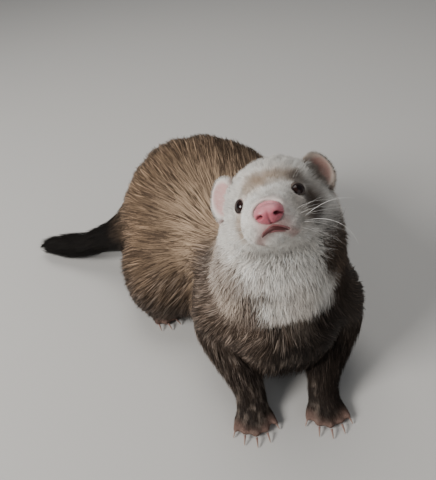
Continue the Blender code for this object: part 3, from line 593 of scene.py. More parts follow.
def material(name, colour=(0.5, 0.5, 0.5), roughness=0.7, attribute=None, bump=None, **sockets):
    """A Principled material. Its colour may come from an attribute, and a fine bump from noise."""
    made = bpy.data.materials.new(name)
    made.use_nodes = True
    nodes, links = made.node_tree.nodes, made.node_tree.links
    shader = nodes["Principled BSDF"]
    shader.inputs["Base Color"].default_value = (*colour, 1)
    shader.inputs["Roughness"].default_value = roughness
    for socket, value in sockets.items():
        shader.inputs[socket.replace("_", " ")].default_value = value
    if attribute:
        reader = nodes.new("ShaderNodeAttribute")
        reader.attribute_name = attribute
        links.new(reader.outputs["Color"], shader.inputs["Base Color"])
    if bump:
        scale, strength, distance = bump
        place = nodes.new("ShaderNodeTexCoord")
        grain = nodes.new("ShaderNodeTexNoise")
        grain.inputs["Scale"].default_value = scale
        grain.inputs["Detail"].default_value = 3
        relief = nodes.new("ShaderNodeBump")
        relief.inputs["Strength"].default_value = strength
        relief.inputs["Distance"].default_value = distance
        links.new(place.outputs["Object"], grain.inputs["Vector"])
        links.new(grain.outputs["Fac"], relief.inputs["Height"])
        links.new(relief.outputs["Normal"], shader.inputs["Normal"])
    return made


skin_points = coordinates(skin.data)
model_points = to_model(skin_points)
skin_colours, skin_guard = markings(model_points, 0)
# The skin is darker where guard hairs are many, and painted darker all over, as painted shade deep under the
# hair
coloured(skin.data, skin_colours * (1 - 0.45 * skin_guard[:, None]) * 0.8)
short_fur = material("skin_and_short_fur", roughness=0.85, attribute="coat", bump=(1400, 0.5, 0.0006))
dressed(skin, short_fur, "tan_fur", *FLESH)

# EARS
# Rounded shells of thin skin, pink inside, with short fur on their backs and a thick soft fringe round the
# rim. Each is cupped forwards, and lies inside its solid by the depth of the fur.
EAR_PLACE, EAR_ROOT, EAR_AIM = (-6.5, 26.5, 13.5), (-6.5, 19.0, 6.5), (0.80, 0.50, 0.20)
EAR_SHRINK, EAR_HALF_HEIGHT, EAR_HALF_WIDTH = {"left": 0.85, "right": 0.97}, 12.5, 9.5
ear_skin = material("ear_skin", roughness=0.6, attribute="coat", bump=(900, 0.25, 0.0004),
                    Subsurface_Weight=0.12, Subsurface_Radius=(0.003, 0.0012, 0.0008))
# The left ear's pink, fur and rim are painted darker than the right one's, as painted shade on the side
# turned from the light
EAR_PINK = {"left": (0.235, 0.130, 0.105), "right": (0.58, 0.33, 0.31)}
EAR_FUR = {"left": (0.46, 0.38, 0.32), "right": (0.82, 0.78, 0.73)}
EAR_SHADE = {"left": (0.095, 0.062, 0.046), "right": (0.50, 0.34, 0.31)}
EAR_RIM = {"left": (0.50, 0.43, 0.37), "right": (0.82, 0.78, 0.72)}
ears = {}


def ear_axes(side):
    """Where an ear faces, and the ways across and up its opening."""
    sign = SIDES[side]
    aim = head_way(*on_side(EAR_AIM, sign)).normalized()
    lean = head_way(0, 0.35 * sign, 1)
    rise = (lean - aim * aim.dot(lean)).normalized()
    return np.array(aim), np.array(rise.cross(aim).normalized() * sign), np.array(rise)


def in_ear(points, side):
    """Places given across and up the opening of an ear, where the rim is at 1 from the middle."""
    sign, size = SIDES[side], EAR_SHRINK[side]
    across, rise = ear_axes(side)[1:]
    root = np.array(head_point(*on_side(EAR_ROOT, sign)))
    centre = np.array(head_point(*on_side(EAR_PLACE, sign)))
    away = points - (root + (centre - root) * size)
    return (away @ across) / (EAR_HALF_WIDTH * size), (away @ rise) / (EAR_HALF_HEIGHT * size)


def ear_tones(points, facing, side):
    """Pink inside, furred behind and at the rim, and darker towards the head."""
    across, height = in_ear(points, side)
    rim = ramp(0.66, 0.92, np.hypot(across, height))
    by_head = ramp(0.35, -0.45, across * 0.6 + height * 0.8)
    pink = mixed(np.outer(1 + 0.12 * noise(points, 5, 20), EAR_PINK[side]), EAR_SHADE[side], by_head * 0.7)
    return np.clip(mixed(EAR_FUR[side], pink, ramp(0.05, 0.45, facing) * (1 - rim * 0.8)), 0, 1)


for side, sign in SIDES.items():
    shell = bmesh.new()
    merged_copy(shell, f"ear_{side}")
    ear = plain_object(f"ear_skin_{side}", shell)
    modified(ear, "REMESH", mode="VOXEL", voxel_size=0.5 * MM)
    modified(ear, "SMOOTH", factor=0.5, iterations=10)
    root = to_world(head_point(*on_side(EAR_ROOT, sign)))[0]
    shrunk = root + (coordinates(ear.data) - root) * EAR_SHRINK[side]
    moved(ear, shrunk)
    coloured(ear.data, ear_tones(to_model(shrunk), vertex_normals(ear.data) @ ear_axes(side)[0], side))
    dressed(ear, ear_skin, "pink_skin", f"ear_{side}")
    ears[side] = ear

# EYES
# Dark glossy balls, each in an almond opening between soft lids, whose thin bare edges are nearly black.
eye_gloss = material("eye_gloss", (0.022, 0.009, 0.008), 0.04, attribute="iris", Specular_IOR_Level=0.32)
lid_finish = material("lids", roughness=0.5, attribute="coat", bump=(1500, 0.2, 0.0003))
LID_STEPS = 56
# Across the lid from the ball to the face: reach from where the eye looks, height over the ball, and tone
LID_PROFILE = [(0.93, -0.5, 0.0), (0.955, 0.10, 0.0), (0.985, 0.34, 0.0), (1.03, 0.50, 0.25),
               (1.10, 0.58, 0.8), (1.25, 0.52, 1.0), (1.45, 0.1, 1.0), (1.52, -0.7, 1.0)]
LID_EDGE_TONE = (0.022, 0.013, 0.011)
LID_FACE_TONE = {"left": (0.11, 0.08, 0.062), "right": (0.52, 0.40, 0.36)}
UPPER_LID_DROP = {"left": 0.36, "right": 0.06}


def bridged(bm, rings):
    """Faces from each ring of corners to the next."""
    for near, far in zip(rings, rings[1:]):
        for k in range(len(near)):
            onward = (k + 1) % len(near)
            bm.faces.new((near[k], near[onward], far[onward], far[k]))


def swept(name, points, radii, sides):
    """A round tube through points of the model's frame."""
    bm = bmesh.new()
    rings = []
    side_way = None
    for k, point in enumerate(points):
        ahead = (points[min(k + 1, len(points) - 1)] - points[max(k - 1, 0)]).normalized()
        if side_way is None:
            side_way = ahead.orthogonal().normalized()
        rise = side_way.cross(ahead).normalized()
        side_way = ahead.cross(rise).normalized()
        ring = [point + (side_way * math.cos(a) + rise * math.sin(a)) * radii[k]
                for a in (2 * math.pi * j / sides for j in range(sides))]
        rings.append([bm.verts.new(Vector(to_world(p)[0])) for p in ring])
    bridged(bm, rings)
    for ring in (rings[0], rings[-1]):
        bm.faces.new(ring)
    bmesh.ops.recalc_face_normals(bm, faces=bm.faces)
    return plain_object(name, bm)


def ball(name, centre, axes, half_sizes, segments=48):
    """A smooth ball on three axes, in the model's frame, and each of its places on the unit ball."""
    bm = bmesh.new()
    bmesh.ops.create_uvsphere(bm, u_segments=segments, v_segments=segments * 2 // 3, radius=1)
    unit = np.array([vert.co for vert in bm.verts])
    offsets = unit * np.array(half_sizes) @ np.array([list(axis) for axis in axes])
    for vert, place in zip(bm.verts, to_world(np.array(centre) + offsets)):
        vert.co = place
    bmesh.ops.recalc_face_normals(bm, faces=bm.faces)
    return plain_object(name, bm), unit


for (side, sign), centre in zip(SIDES.items(), EYES):
    aim, outer, rise = lid_axes(sign)
    eyeball, unit = ball(f"eyeball_{side}", centre, (outer, rise, aim), (EYE_RADIUS,) * 3)
    off_axis = np.degrees(np.arccos(np.clip(unit[:, 2], -1, 1)))
    ring = ramp(15, 24, off_axis) * ramp(50, 38, off_axis)
    iris = np.array((0.006, 0.003, 0.003)) + ring[:, None] * np.array((0.016, 0.006, 0.004))
    coloured(eyeball.data, iris, "iris")
    dressed(eyeball, eye_gloss, "dark_eye", f"eye_{side}")
    lid_bm = bmesh.new()
    lid_rings, lid_tones = [], []
    for reach, height, tone in LID_PROFILE:
        ring = []
        for k in range(LID_STEPS):
            turn = 2 * math.pi * k / LID_STEPS
            edge = float(lid_edge(turn))
            edge /= math.hypot(math.cos(turn) / LIDS_ACROSS[sign], math.sin(turn) / LIDS_UP[sign])
            drop = UPPER_LID_DROP[side] * max(math.sin(turn), 0) * max(1.5 - reach, 0) / 0.5
            off = edge * (reach - drop)
            way = aim * math.cos(off) + (outer * math.cos(turn) + rise * math.sin(turn)) * math.sin(off)
            ring.append(lid_bm.verts.new(Vector(to_world(centre + way * (EYE_RADIUS + height))[0])))
            lid_tones.append(mixed(LID_EDGE_TONE, LID_FACE_TONE[side], tone))
        lid_rings.append(ring)
    bridged(lid_bm, lid_rings + lid_rings[:1])
    bmesh.ops.recalc_face_normals(lid_bm, faces=lid_bm.faces)
    lids = plain_object(f"lids_{side}", lid_bm)
    coloured(lids.data, np.array(lid_tones))
    dressed(lids, lid_finish, "pink_skin")

# NOSE
# A bare pad of pebbled pink skin, with two comma-shaped nostrils and a shallow groove down to the lip.
NOSE_SEGMENTS = 84
NOSE_TOP, NOSE_FRONT, NOSTRIL_SHADE = (0.60, 0.245, 0.27), (0.50, 0.125, 0.16), (0.13, 0.02, 0.02)
HEAD_AXES = (HEAD_FORWARD, HEAD_LEFT, HEAD_UP)
nose, unit = ball("nose_pad", head_point(*NOSE_PLACE), HEAD_AXES, NOSE_HALF_SIZES, NOSE_SEGMENTS)
nose_points = coordinates(nose.data)
nose_normals = vertex_normals(nose.data)
ahead, aside, above = unit.T
pit = np.zeros(len(unit))
for sign in (1, -1):
    from_pit = np.hypot((aside - 0.60 * sign) / 0.24, (above + 0.31) / 0.20)
    slit = np.hypot((aside - 0.84 * sign) / 0.22, (above + 0.36) / 0.09)
    pit += np.maximum(1 - ramp(0.30, 1.15, from_pit), 0.6 * (1 - ramp(0.4, 1.1, slit))) * (ahead > 0)
wings = sum(np.exp(-((aside - 0.56 * sign) / 0.34) ** 2 - ((above + 0.1) / 0.5) ** 2) for sign in (1, -1))
groove = np.exp(-(aside / 0.08) ** 2) * ramp(0.2, -0.4, above) * (ahead > 0)
pebbles = noise(to_model(nose_points), 0.55, 21) * 0.05
lift = (0.6 * wings - ramp(0.35, 0.9, above)) * (ahead > 0)
lift += pebbles * (1 - pit) - 2.9 * pit - 0.45 * groove
nose_points += nose_normals * lift[:, None] * MM
moved(nose, nose_points)
nose_tone = mixed(NOSE_TOP, NOSE_FRONT, ramp(0.55, -0.45, above))
nose_tone *= 1 + 0.12 * noise(to_model(nose_points), 2.2, 22)[:, None]
# The nostril pits and the groove are painted darker, as painted shade in these hollows
nose_tone = nose_tone * (1 - 0.85 * np.clip(pit, 0, 1)[:, None]) + np.outer(pit * 0.4, NOSTRIL_SHADE)
nose_tone *= (1 - 0.3 * groove)[:, None]
coloured(nose.data, np.clip(nose_tone, 0, 1))
PINK_GLOW = (0.002, 0.0007, 0.0005)
nose_leather = material("nose_leather", roughness=0.45, attribute="coat", bump=(2600, 0.25, 0.0003),
                        Coat_Weight=0.12, Coat_Roughness=0.3, Subsurface_Weight=0.15,
                        Subsurface_Radius=PINK_GLOW)
dressed(nose, nose_leather, "pink_skin", "nose")

# MOUTH
# Soft pink lips meet in an arch under the nose, their ends hidden by the fur. The lower lip is fuller, and
# between the two runs a dark tube for the line of the mouth, painted shade in its opening.
skin_tree = BVHTree.FromObject(skin, bpy.context.evaluated_depsgraph_get())
lip_skin = material("lip_skin", (0.24, 0.085, 0.085), 0.6, bump=(1600, 0.3, 0.0003),
                    Subsurface_Weight=0.1, Subsurface_Radius=PINK_GLOW)
# Near-black red of the mouth line: painted shade in the opening of the mouth
mouth_shade = material("mouth_shade", (0.075, 0.014, 0.014), 0.6, bump=(1200, 0.2, 0.0003))
LIP_SMOOTHING = 6


def on_skin(points, lift, along_skin):
    """Points moved onto the skin, then lifted off it, moved up the face along it, and evened."""
    found = []
    for point in points:
        place, normal, _, _ = skin_tree.find_nearest(Vector(to_world(point)[0]))
        upwards = (HEAD_UP - normal * HEAD_UP.dot(normal)).normalized()
        found.append(Vector(to_model(place + (normal * lift + upwards * along_skin) * MM)[0]))
    for _ in range(LIP_SMOOTHING):
        inner = [(a + b * 2 + c) / 4 for a, b, c in zip(found, found[1:], found[2:])]
        found = [found[0], *inner, found[-1]]
    return found


thin_ends = [math.cos(k / MOUTH_STEPS * math.pi / 2) for k in range(-MOUTH_STEPS, MOUTH_STEPS + 1)]
for name, lift, up_the_face, radius, taper, finish in (
        ("lip_upper", -0.3, 0.75, 0.42, 1.2, lip_skin), ("lip_lower", -0.85, -1.5, 0.62, 1.6, lip_skin),
        ("mouth_line", -0.45, -0.3, 1.0, 2.2, mouth_shade)):
    radii = [0.12 + radius * end**taper for end in thin_ends]
    piece = swept(name, on_skin(mouth_path, lift, up_the_face), radii, 12)
    dressed(piece, finish, "pink_skin")

# CLAWS
# Curved, tapering horn on each of the five toes of every foot, pinkish at the root and paler at the tip.
CLAW_TIP, CLAW_ROOT = (0.42, 0.29, 0.225), (0.25, 0.145, 0.115)
horn_bm = bmesh.new()
for name in claw_nodes:
    merged_copy(horn_bm, name)
claws = plain_object("claws", horn_bm)
modified(claws, "SUBSURF", levels=2, render_levels=2)
tip_share = 1 - ramp(0.5, 4.5, to_model(coordinates(claws.data))[:, 2])
coloured(claws.data, mixed(CLAW_ROOT, CLAW_TIP, tip_share))
horn = material("horn", roughness=0.35, attribute="coat", bump=(1800, 0.15, 0.0002))
dressed(claws, horn, "horn", *claw_nodes)

# COAT
# Hair grows from the whole skin in thin, tapering tufts that lie back along the body. Pale underfur carries
# longer, dark-tipped guard hairs, gathered in narrow streaks. Each tuft is one closed spike of few faces.
COAT_SEED = 11
FACES_PER_PIECE = 190000
UV_CELLS, UV_MARGIN, UV_TUFT = 4, 0.03, 0.003
LONG_TUFT = 10.5
# Of a tuft: depth of its root in the skin, thickness by width, arch by rise, and lean of its sides in light
ROOT_DEPTH, TUFT_THICKNESS, TUFT_ARCH, SIDE_LEAN = 0.35, 0.42, 0.3, 0.8
fur_finish = material("fur", roughness=0.65, attribute="coat", Specular_IOR_Level=0.12)
draw = np.random.default_rng(COAT_SEED)


def unit_rows(ways):
    return ways / np.maximum(np.linalg.norm(ways, axis=1, keepdims=True), 1e-9)



def unwrapped(points, parts):
    """Where each place falls on an unwrap of the skin: every part is rolled out round its own line."""
    uv = np.zeros((len(points), 2))
    for number, part in enumerate(FLESH + ["ear_left", "ear_right"]):
        here = parts == number
        if not here.any():
            continue
        line = np.array(LINES.get(part, LINES["head"][1:3]), float)
        off, run = nearest_stretch(line, points[here], 0.3)[1:]
        axis = unit_rows((line[-1] - line[0])[None])[0]
        flat = unit_rows(np.cross(axis, (0.31, 0.2, 0.93))[None])[0]
        angle = np.arctan2(off @ np.cross(axis, flat), off @ flat) / (2 * np.pi) + 0.5
        along = (run - run.min()) / max(np.ptp(run), 1e-9)
        cell = np.array([number % UV_CELLS, number // UV_CELLS])
        uv[here] = (cell + UV_MARGIN + (1 - 2 * UV_MARGIN) * np.column_stack([angle, along])) / UV_CELLS
    return uv


# Corners of a tuft: share of the way from root to tip, then steps of half a width aside and a thickness up
BENT = {"corners": [(0, 0, 0), (0.42, -1, 0), (0.42, 1, 0), (0.42, 0, 1), (1, 0, 0)],
        "faces": [(2, 1, 0), (3, 2, 0), (1, 3, 0), (2, 4, 1), (3, 4, 2), (1, 4, 3)]}
STRAIGHT = {"corners": [(0, -1, 0), (0, 1, 0), (0, 0, 1), (1, 0, 0)],
            "faces": [(2, 1, 0), (1, 3, 0), (2, 3, 1), (0, 3, 2)]}


def tufts(name, shape, at):
    """Closed spikes, as joined pieces. A bent one arches a little over the line from root to tip."""
    corners, faces = np.array(shape["corners"], float), np.array(shape["faces"])
    share = corners[:, 0][None, :, None]
    roots = at["root"] - at["normal"] * ROOT_DEPTH * MM
    half = unit_rows(np.cross(at["normal"], at["way"])) * (at["width"] * MM / 2)[:, None]
    thick = at["normal"] * (at["width"] * TUFT_THICKNESS * MM)[:, None]
    arch = 4 * share * (1 - share) * (at["normal"] * (at["rise"] * TUFT_ARCH * MM)[:, None])[:, None]
    places = roots[:, None] * (1 - share) + at["tip"][:, None] * share + arch
    aside = corners[:, 1][None, :, None]
    places += half[:, None] * aside + thick[:, None] * corners[:, 2][None, :, None]
    # Colour runs from the root's tone, painted darker as shade deep in the coat, to the tip's
    tone = share ** at["fade"][:, None, None]
    colours = at["root_colour"][:, None] * (1 - tone) + at["tip_colour"][:, None] * tone
    leaning = unit_rows(at["normal"])[:, None] * (1 - share) + unit_rows(at["tip_normal"])[:, None] * share
    leaning += unit_rows(half)[:, None] * aside * SIDE_LEAN
    patch = np.column_stack([corners[:, 1] * 0.5, corners[:, 0] - 0.5]) * UV_TUFT
    spots = at["uv"][:, None] + patch[None]
    size = len(corners)
    batch = FACES_PER_PIECE // len(faces)
    for number, start in enumerate(range(0, len(roots), batch), 1):
        part = slice(start, min(start + batch, len(roots)))
        count = part.stop - part.start
        index = (faces[None] + np.arange(count)[:, None, None] * size).reshape(-1, 3)
        mesh = bpy.data.meshes.new(f"{name}_{number}")
        mesh.vertices.add(count * size)
        mesh.vertices.foreach_set("co", places[part].astype(np.float32).ravel())
        mesh.loops.add(index.size)
        mesh.loops.foreach_set("vertex_index", index.astype(np.int32).ravel())
        mesh.polygons.add(len(index))
        mesh.polygons.foreach_set("loop_start", np.arange(0, index.size, 3, dtype=np.int32))
        mesh.update(calc_edges=True)
        coloured(mesh, np.clip(colours[part].reshape(-1, 3), 0, 1))
        layer = mesh.uv_layers.new(name="OFBake")
        layer.data.foreach_set("uv", spots[part].reshape(-1, 2)[index.ravel()].astype(np.float32).ravel())
        mesh.materials.append(fur_finish)
        mesh.shade_smooth()
        mesh.normals_split_custom_set_from_vertices(unit_rows(leaning[part].reshape(-1, 3)).tolist())
        piece = linked(f"{name}_{number}", mesh)
        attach(piece, "root")


def grown(name, at):
    """The tufts of one part of the coat, the long ones bent and the short ones straight."""
    long_ones = at["length"] > LONG_TUFT
    for label, shape, chosen in ((name, BENT, long_ones), (f"{name}_short", STRAIGHT, ~long_ones)):
        if chosen.any():
            tufts(label, shape, {key: values[chosen] for key, values in at.items()})


def scattered(mesh, tuft_area):
    """Places spread evenly over a mesh, one for each tuft's area: triangle and weights of its corners."""
    mesh.calc_loop_triangles()
    triangles = rows(mesh.loop_triangles, "vertices", 3, np.int32)
    corners = coordinates(mesh)[triangles]
    crossed = np.cross(corners[:, 1] - corners[:, 0], corners[:, 2] - corners[:, 0])
    area = np.linalg.norm(crossed, axis=1) / 2 / MM**2
    wanted = np.cumsum(area / tuft_area[triangles].mean(axis=1))
    count = int(wanted[-1])
    chosen = np.searchsorted(wanted, (np.arange(count) + draw.random(count)) / count * wanted[-1])
    first, second = np.sqrt(draw.random(count)), draw.random(count)
    weights = np.column_stack([1 - first, first * (1 - second), first * second])
    return triangles[chosen], weights


def blended(values, triangles, weights):
    return (values[triangles] * weights[..., None]).sum(axis=1)


def on_surface(places):
    """The nearest place of the skin and its normal there."""
    found = [skin_tree.find_nearest(Vector(place))[:2] for place in places]
    return np.array([place for place, _ in found]), np.array([normal for _, normal in found])


triangles, weights = scattered(skin.data, fields[:, AREA])
roots = blended(skin_points, triangles, weights)
root_normals = unit_rows(blended(vertex_normals(skin.data), triangles, weights))
root_fields = blended(fields, triangles, weights)
root_parts = part_of[triangles[:, 0]]
root_model = to_model(roots)
# No hair grows on the lips, inside the lids, on the nose or where the animal stands on the floor
MOUTH_ROOM, LIP_ROOM, LIP_DROP, LIP_ENDS = 0.55, 0.45, 1.4, 14
LID_ROOM, LID_REACH, NOSE_ROOM, SOLE_ROOM, TIP_ROOM = 1.05, 8.5, 0.3, 0.6, 0.5
keep = nearest(root_model, mouth_path) > MOUTH_ROOM
lower_lip = np.array(mouth_path) - np.array(HEAD_UP) * LIP_DROP
keep &= nearest(root_model, lower_lip[LIP_ENDS:-LIP_ENDS]) > LIP_ROOM
for centre, sign in zip(EYES, SIDES.values()):
    away = root_model - np.array(centre)
    keep &= (from_eye(away, sign) > LID_ROOM) | (np.linalg.norm(away, axis=1) > LID_REACH)
from_nose = (in_head(root_model) - np.array(NOSE_PLACE)) / (np.array(NOSE_HALF_SIZES) + NOSE_ROOM)
keep &= (np.linalg.norm(from_nose, axis=1) > 1) & (root_model[:, 2] > SOLE_ROOM)
roots, root_normals, root_fields, root_parts, root_model = (
    values[keep] for values in (roots, root_normals, root_fields, root_parts, root_model))

# Neighbouring hairs lean together in small clumps, and each clump has its own share of dark guard hairs
CLUMP_SPACING = {"head": 1.8, "neck": 2.4, "torso": 2.6, "tail": 3.5}
spacing = np.array([CLUMP_SPACING.get(part, 1.9) for part in FLESH])[root_parts]
centres = np.flatnonzero(draw.random(len(roots)) < root_fields[:, AREA] / spacing**2)
clump_of = nearest_of(roots, roots[centres])
clump_dark = draw.random(len(centres))[clump_of]

count = len(roots)
head_share = ramp(-30, -16, in_head(root_model)[:, 0])
ways = unit_rows(root_fields[:, :3]) + draw.normal(0, 1, (count, 3)) * (0.07 + 0.17 * head_share)[:, None]
ways += np.column_stack([noise(root_model, 11, s) for s in (31, 32, 33)]) * 0.13
ways += np.column_stack([noise(root_model, 4, s) for s in (34, 35, 36)]) * (0.22 * head_share)[:, None]
for centre in EYES:
    away = root_model - np.array(centre)
    ways += unit_rows(away) * (1 - ramp(4.5, 8, np.linalg.norm(away, axis=1)))[:, None] * 1.2
ways = unit_rows(ways - root_normals * (ways * root_normals).sum(axis=1, keepdims=True))
lengths = root_fields[:, LENGTH] * draw.uniform(0.7, 1.12, count)
widths = root_fields[:, WIDTH] * draw.uniform(0.75, 1.2, count)
colours, guard = markings(root_model, draw.normal(0, 0.10, (count, 1))
                          + ((clump_dark - 0.5) * (0.22 + 0.2 * head_share))[:, None])
is_guard = guard * (0.5 + clump_dark) > draw.random(count)
lengths = np.where(is_guard, lengths * 1.15, lengths)
widths = np.where(is_guard, widths * 0.72, widths)
rises = root_fields[:, LOFT] * draw.uniform(0.2, 1.0, count) ** 1.4 + 0.1

GUARD_TONE = np.array((0.080, 0.052, 0.036))
guard_colours = np.minimum(colours * 0.45, GUARD_TONE)
# Light hairs are sprinkled over the dark legs, and stand out a little from them
frosted = (colours.mean(axis=1) < 0.16) & (root_model[:, 0] > -100)
frosted &= draw.random(count) < 0.05 + 0.17 * ramp(-4, -20, root_model[:, 0])
is_guard &= ~frosted
# Roots are painted darker and tips a little lighter, as painted shade deep in the coat between the hairs
tip_colours = np.where(is_guard[:, None], guard_colours, colours * 1.06)
tip_colours[frosted] = tip_colours[frosted] * 2.8 + 0.03
shaded_root_colours = colours * np.where(is_guard, 0.55, 0.54 + 0.12 * colours[:, 1])[:, None]
fades = np.where(is_guard, 0.45, 0.8)

goals = roots + ways * lengths[:, None] * MM
goals += root_normals * (np.maximum(lengths - 8, 0) * 0.06 * MM)[:, None]
feet, tip_normals = on_surface(goals)
tips = feet + tip_normals * rises[:, None] * MM
pale_parts = on_part(root_parts, "head", "neck")
gather = 0.14 + 0.30 * ramp(6, 12, root_fields[:, LENGTH]) * np.where(pale_parts, 0.35, 1)
on_crown = on_part(root_parts, "head") * ramp(-12, -2, in_head(root_model)[:, 2])
gather += 0.26 * on_crown * ramp(3.5, 7, root_fields[:, LENGTH])
tips = mixed(tips, tips[centres][clump_of], gather)
reach = np.linalg.norm(tips - roots, axis=1)
tips = roots + (tips - roots) * np.minimum(1, lengths * MM / np.maximum(reach, 1e-9))[:, None]
# The fringe under the chest hangs free
chest_fringe = ramp(72, 56, root_model[:, 2]) * ramp(75, 60, root_model[:, 1])
belly_fringe = ramp(52, 38, root_model[:, 2]) * 0.75
hangs = on_part(root_parts, "torso", "neck") * np.maximum(chest_fringe, belly_fringe)
hangs = hangs * draw.uniform(0.4, 1.0, count)
falling = roots + (ways * 0.25 + np.array((0, 0.15, -0.95))) * lengths[:, None] * MM
tips = mixed(tips, falling, hangs)
tips[:, 2] = np.maximum(tips[:, 2], TIP_ROOM * MM)
coat = {"root": roots, "normal": root_normals, "way": ways, "length": root_fields[:, LENGTH],
        "width": widths, "rise": rises, "tip": tips, "tip_normal": tip_normals, "root_colour": shaded_root_colours,
        "tip_colour": tip_colours, "fade": fades, "uv": unwrapped(root_model, root_parts)}
groups = {"coat_head": "head", "coat_neck": "neck", "coat_torso": "torso", "coat_tail": "tail",
          "coat_legs": "leg", "coat_paws": "paw"}
for name, word in groups.items():
    here = on_part(root_parts, word)
    grown(name, {key: values[here] for key, values in coat.items()})

# Fur of the ears: short and dense on their backs, a thick pale fringe round the rim, and a little inside
for side in SIDES:
    mesh = ears[side].data
    aim, across_way, rise_way = ear_axes(side)
    place = coordinates(mesh)
    ear_model = to_model(place)
    facing = vertex_normals(mesh) @ aim
    across, height = in_ear(ear_model, side)
    rim = ramp(0.62, 0.92, np.hypot(across, height))
    by_head = ramp(0.15, -0.55, across * 0.6 + height * 0.8)
    area = np.where(facing > 0.35, 0.8 - 0.73 * np.maximum(rim, by_head), 0.075)
    ear_triangles, ear_weights = scattered(mesh, area)
    count = len(ear_triangles)
    ear_roots = blended(place, ear_triangles, ear_weights)
    ear_normals = unit_rows(blended(vertex_normals(mesh), ear_triangles, ear_weights))
    across, height = in_ear(to_model(ear_roots), side)
    rim = ramp(0.62, 0.95, np.hypot(across, height))
    by_head = ramp(0.15, -0.55, across * 0.6 + height * 0.8) * ramp(0.2, 0.5, ear_normals @ aim)
    ear_ways = np.outer(across, across_way) + np.outer(height, rise_way)
    ear_ways = unit_rows(ear_ways) + np.outer(0.1 + 0.1 * rim, aim) + draw.normal(0, 0.22, (count, 3))
    ear_ways += (by_head * 0.8)[:, None] * (across_way + rise_way * 0.5)
    outwards = (ear_ways * ear_normals).sum(axis=1, keepdims=True)
    ear_ways = unit_rows(ear_ways - ear_normals * outwards * 0.85)
    ear_lengths = (1.3 + 0.4 * rim + 2.6 * by_head) * draw.uniform(0.7, 1.2, count)
    ear_rises = draw.uniform(0.25, 0.8, count)
    fur_tone = mixed(EAR_FUR[side], EAR_SHADE[side], by_head)
    tones = mixed(fur_tone, EAR_RIM[side], rim * 0.75 * (1 - by_head))
    tones = tones * (1 + draw.normal(0, 0.08, (count, 1)))
    ear_spots = unwrapped(to_model(ear_roots), np.full(count, len(FLESH) + (side == "right")))
    ear_tips = ear_roots + ear_ways * ear_lengths[:, None] * MM + ear_normals * ear_rises[:, None] * MM
    # Ear hairs are painted darker at the root and a little lighter at the tip, as painted shade in the fur
    grown(f"coat_ear_{side}", {
        "root": ear_roots, "normal": ear_normals, "way": ear_ways, "length": ear_lengths * 0.5,
        "width": 0.2 * draw.uniform(0.8, 1.2, count), "rise": ear_rises, "tip": ear_tips,
        "tip_normal": ear_normals, "root_colour": tones * 0.75, "tip_colour": tones * 1.04,
        "fade": np.full(count, 0.8), "uv": ear_spots})

# WHISKERS
# Stiff, white, tapering hairs that spring from the whisker pads and arch out and down, with a few over each
# eye. Two long ones stand out on the left.
WHISKER_RADIUS, WHISKER_STEPS, WHISKER_BEND, WHISKER_TAPER = 0.09, 14, 0.55, 0.9
whisker_finish = material("whisker", (0.86, 0.84, 0.80), 0.35, bump=(600, 0.1, 0.0001))
whisker_draw = np.random.default_rng(5)
# Start, way and bend in the head, length and thickness
whisker_shapes = [((23.5, 15.5, -10.5), (0.20, 0.9, 0.43), (-0.35, -0.24, -0.68), 30, 1.3),
                  ((23.0, 16.0, -12.6), (0.20, 1.0, -0.08), (-0.45, -0.78, -0.69), 35, 1.3)]
for sign in SIDES.values():
    for row in range(4):
        for number in range(3):
            place = (28.0 - number * 3.0 - row * 0.8, sign * (10.4 + number * 1.3), -7.0 - row * 2.2)
            way = (0.30 - 0.28 * number, sign, 0.34 - 0.26 * row + whisker_draw.normal(0, 0.06))
            bend = (-0.35 - 0.1 * number, -0.1 * sign, -0.45 + whisker_draw.normal(0, 0.12))
            whisker_shapes.append((place, way, bend, whisker_draw.uniform(13, 24), 0.55))
    for number in range(2):
        whisker_shapes.append(((12.5 - number * 2, sign * (13 + number), 9.8), (0.35, sign * 0.7, 0.7),
                               (-0.5, 0.1 * sign, 0.0), whisker_draw.uniform(8, 11), 0.45))
whisker_bm = bmesh.new()
for place, way, bend, length, thickness in whisker_shapes:
    start = Vector(to_model(skin_tree.find_nearest(Vector(to_world(head_point(*place))[0]))[0])[0])
    way, bend = head_way(*way).normalized(), head_way(*bend)
    steps = np.linspace(0, 1, WHISKER_STEPS)
    line = [start + way * length * t + bend * length * WHISKER_BEND * t**2 for t in steps]
    radii = [WHISKER_RADIUS * thickness * (1 - WHISKER_TAPER * t) for t in steps]
    hair = swept("hair", line, radii, 5)
    whisker_bm.from_mesh(hair.data)
    bpy.data.objects.remove(hair)
whiskers = plain_object("whiskers", whisker_bm)
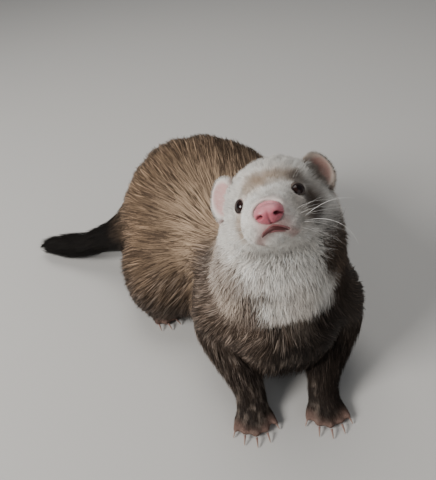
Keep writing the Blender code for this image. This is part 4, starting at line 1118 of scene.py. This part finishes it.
dressed(whiskers, whisker_finish, "cream_fur")

# STUDIO
# Plain pale floor, three soft boxes over it, and the camera of the photograph, close and high. It looks down
# at the face.
CAMERA_PLACE, CAMERA_PITCH, CAMERA_ROLL, CAMERA_LENS = (-34.3, -133, 290), 43, 6.6, 32.25
floor_bm = bmesh.new()
bmesh.ops.create_grid(floor_bm, x_segments=1, y_segments=1, size=4)
floor = plain_object("floor", floor_bm)
floor.data.materials.append(material("floor_paint", (0.60, 0.585, 0.56), 0.8, bump=(300, 0.1, 0.0005)))

camera = linked("camera", bpy.data.cameras.new("camera"))
camera.data.lens = CAMERA_LENS
camera.data.clip_start = 0.01
pitch, roll = math.radians(CAMERA_PITCH), math.radians(CAMERA_ROLL)
look = Vector((0, math.cos(pitch), -math.sin(pitch)))
right, rise = Vector((1, 0, 0)), Vector((0, math.sin(pitch), math.cos(pitch)))
camera_x = right * math.cos(roll) - rise * math.sin(roll)
camera_y = right * math.sin(roll) + rise * math.cos(roll)
turn = Matrix((camera_x, camera_y, -look)).transposed().to_4x4()
camera.matrix_world = Matrix.Translation(to_world(CAMERA_PLACE)[0]) @ turn
bpy.context.scene.camera = camera


# Name, place, size, power and tone of each light, all turned to the middle of the animal
LIT_PLACE = Vector((0, 0, 0.1))
for name, place, size, power, tone in (("key", (-1.05, -0.50, 0.85), 0.5, 21, (1.0, 0.98, 0.95)),
                                       ("fill", (0.85, -0.9, 0.7), 0.9, 1.5, (0.95, 0.97, 1.0)),
                                       ("top", (0.0, 0.35, 1.2), 0.7, 5, (1.0, 0.98, 0.95))):
    light = linked(name, bpy.data.lights.new(name, "AREA"))
    light.data.size, light.data.energy, light.data.color = size, power, tone
    light.location = place
    light.rotation_euler = (LIT_PLACE - Vector(place)).to_track_quat("-Z", "Y").to_euler()
world = bpy.data.worlds.new("studio")
world.use_nodes = True
world.node_tree.nodes["Background"].inputs["Color"].default_value = (0.75, 0.78, 0.82, 1)
world.node_tree.nodes["Background"].inputs["Strength"].default_value = 0.20
bpy.context.scene.world = world
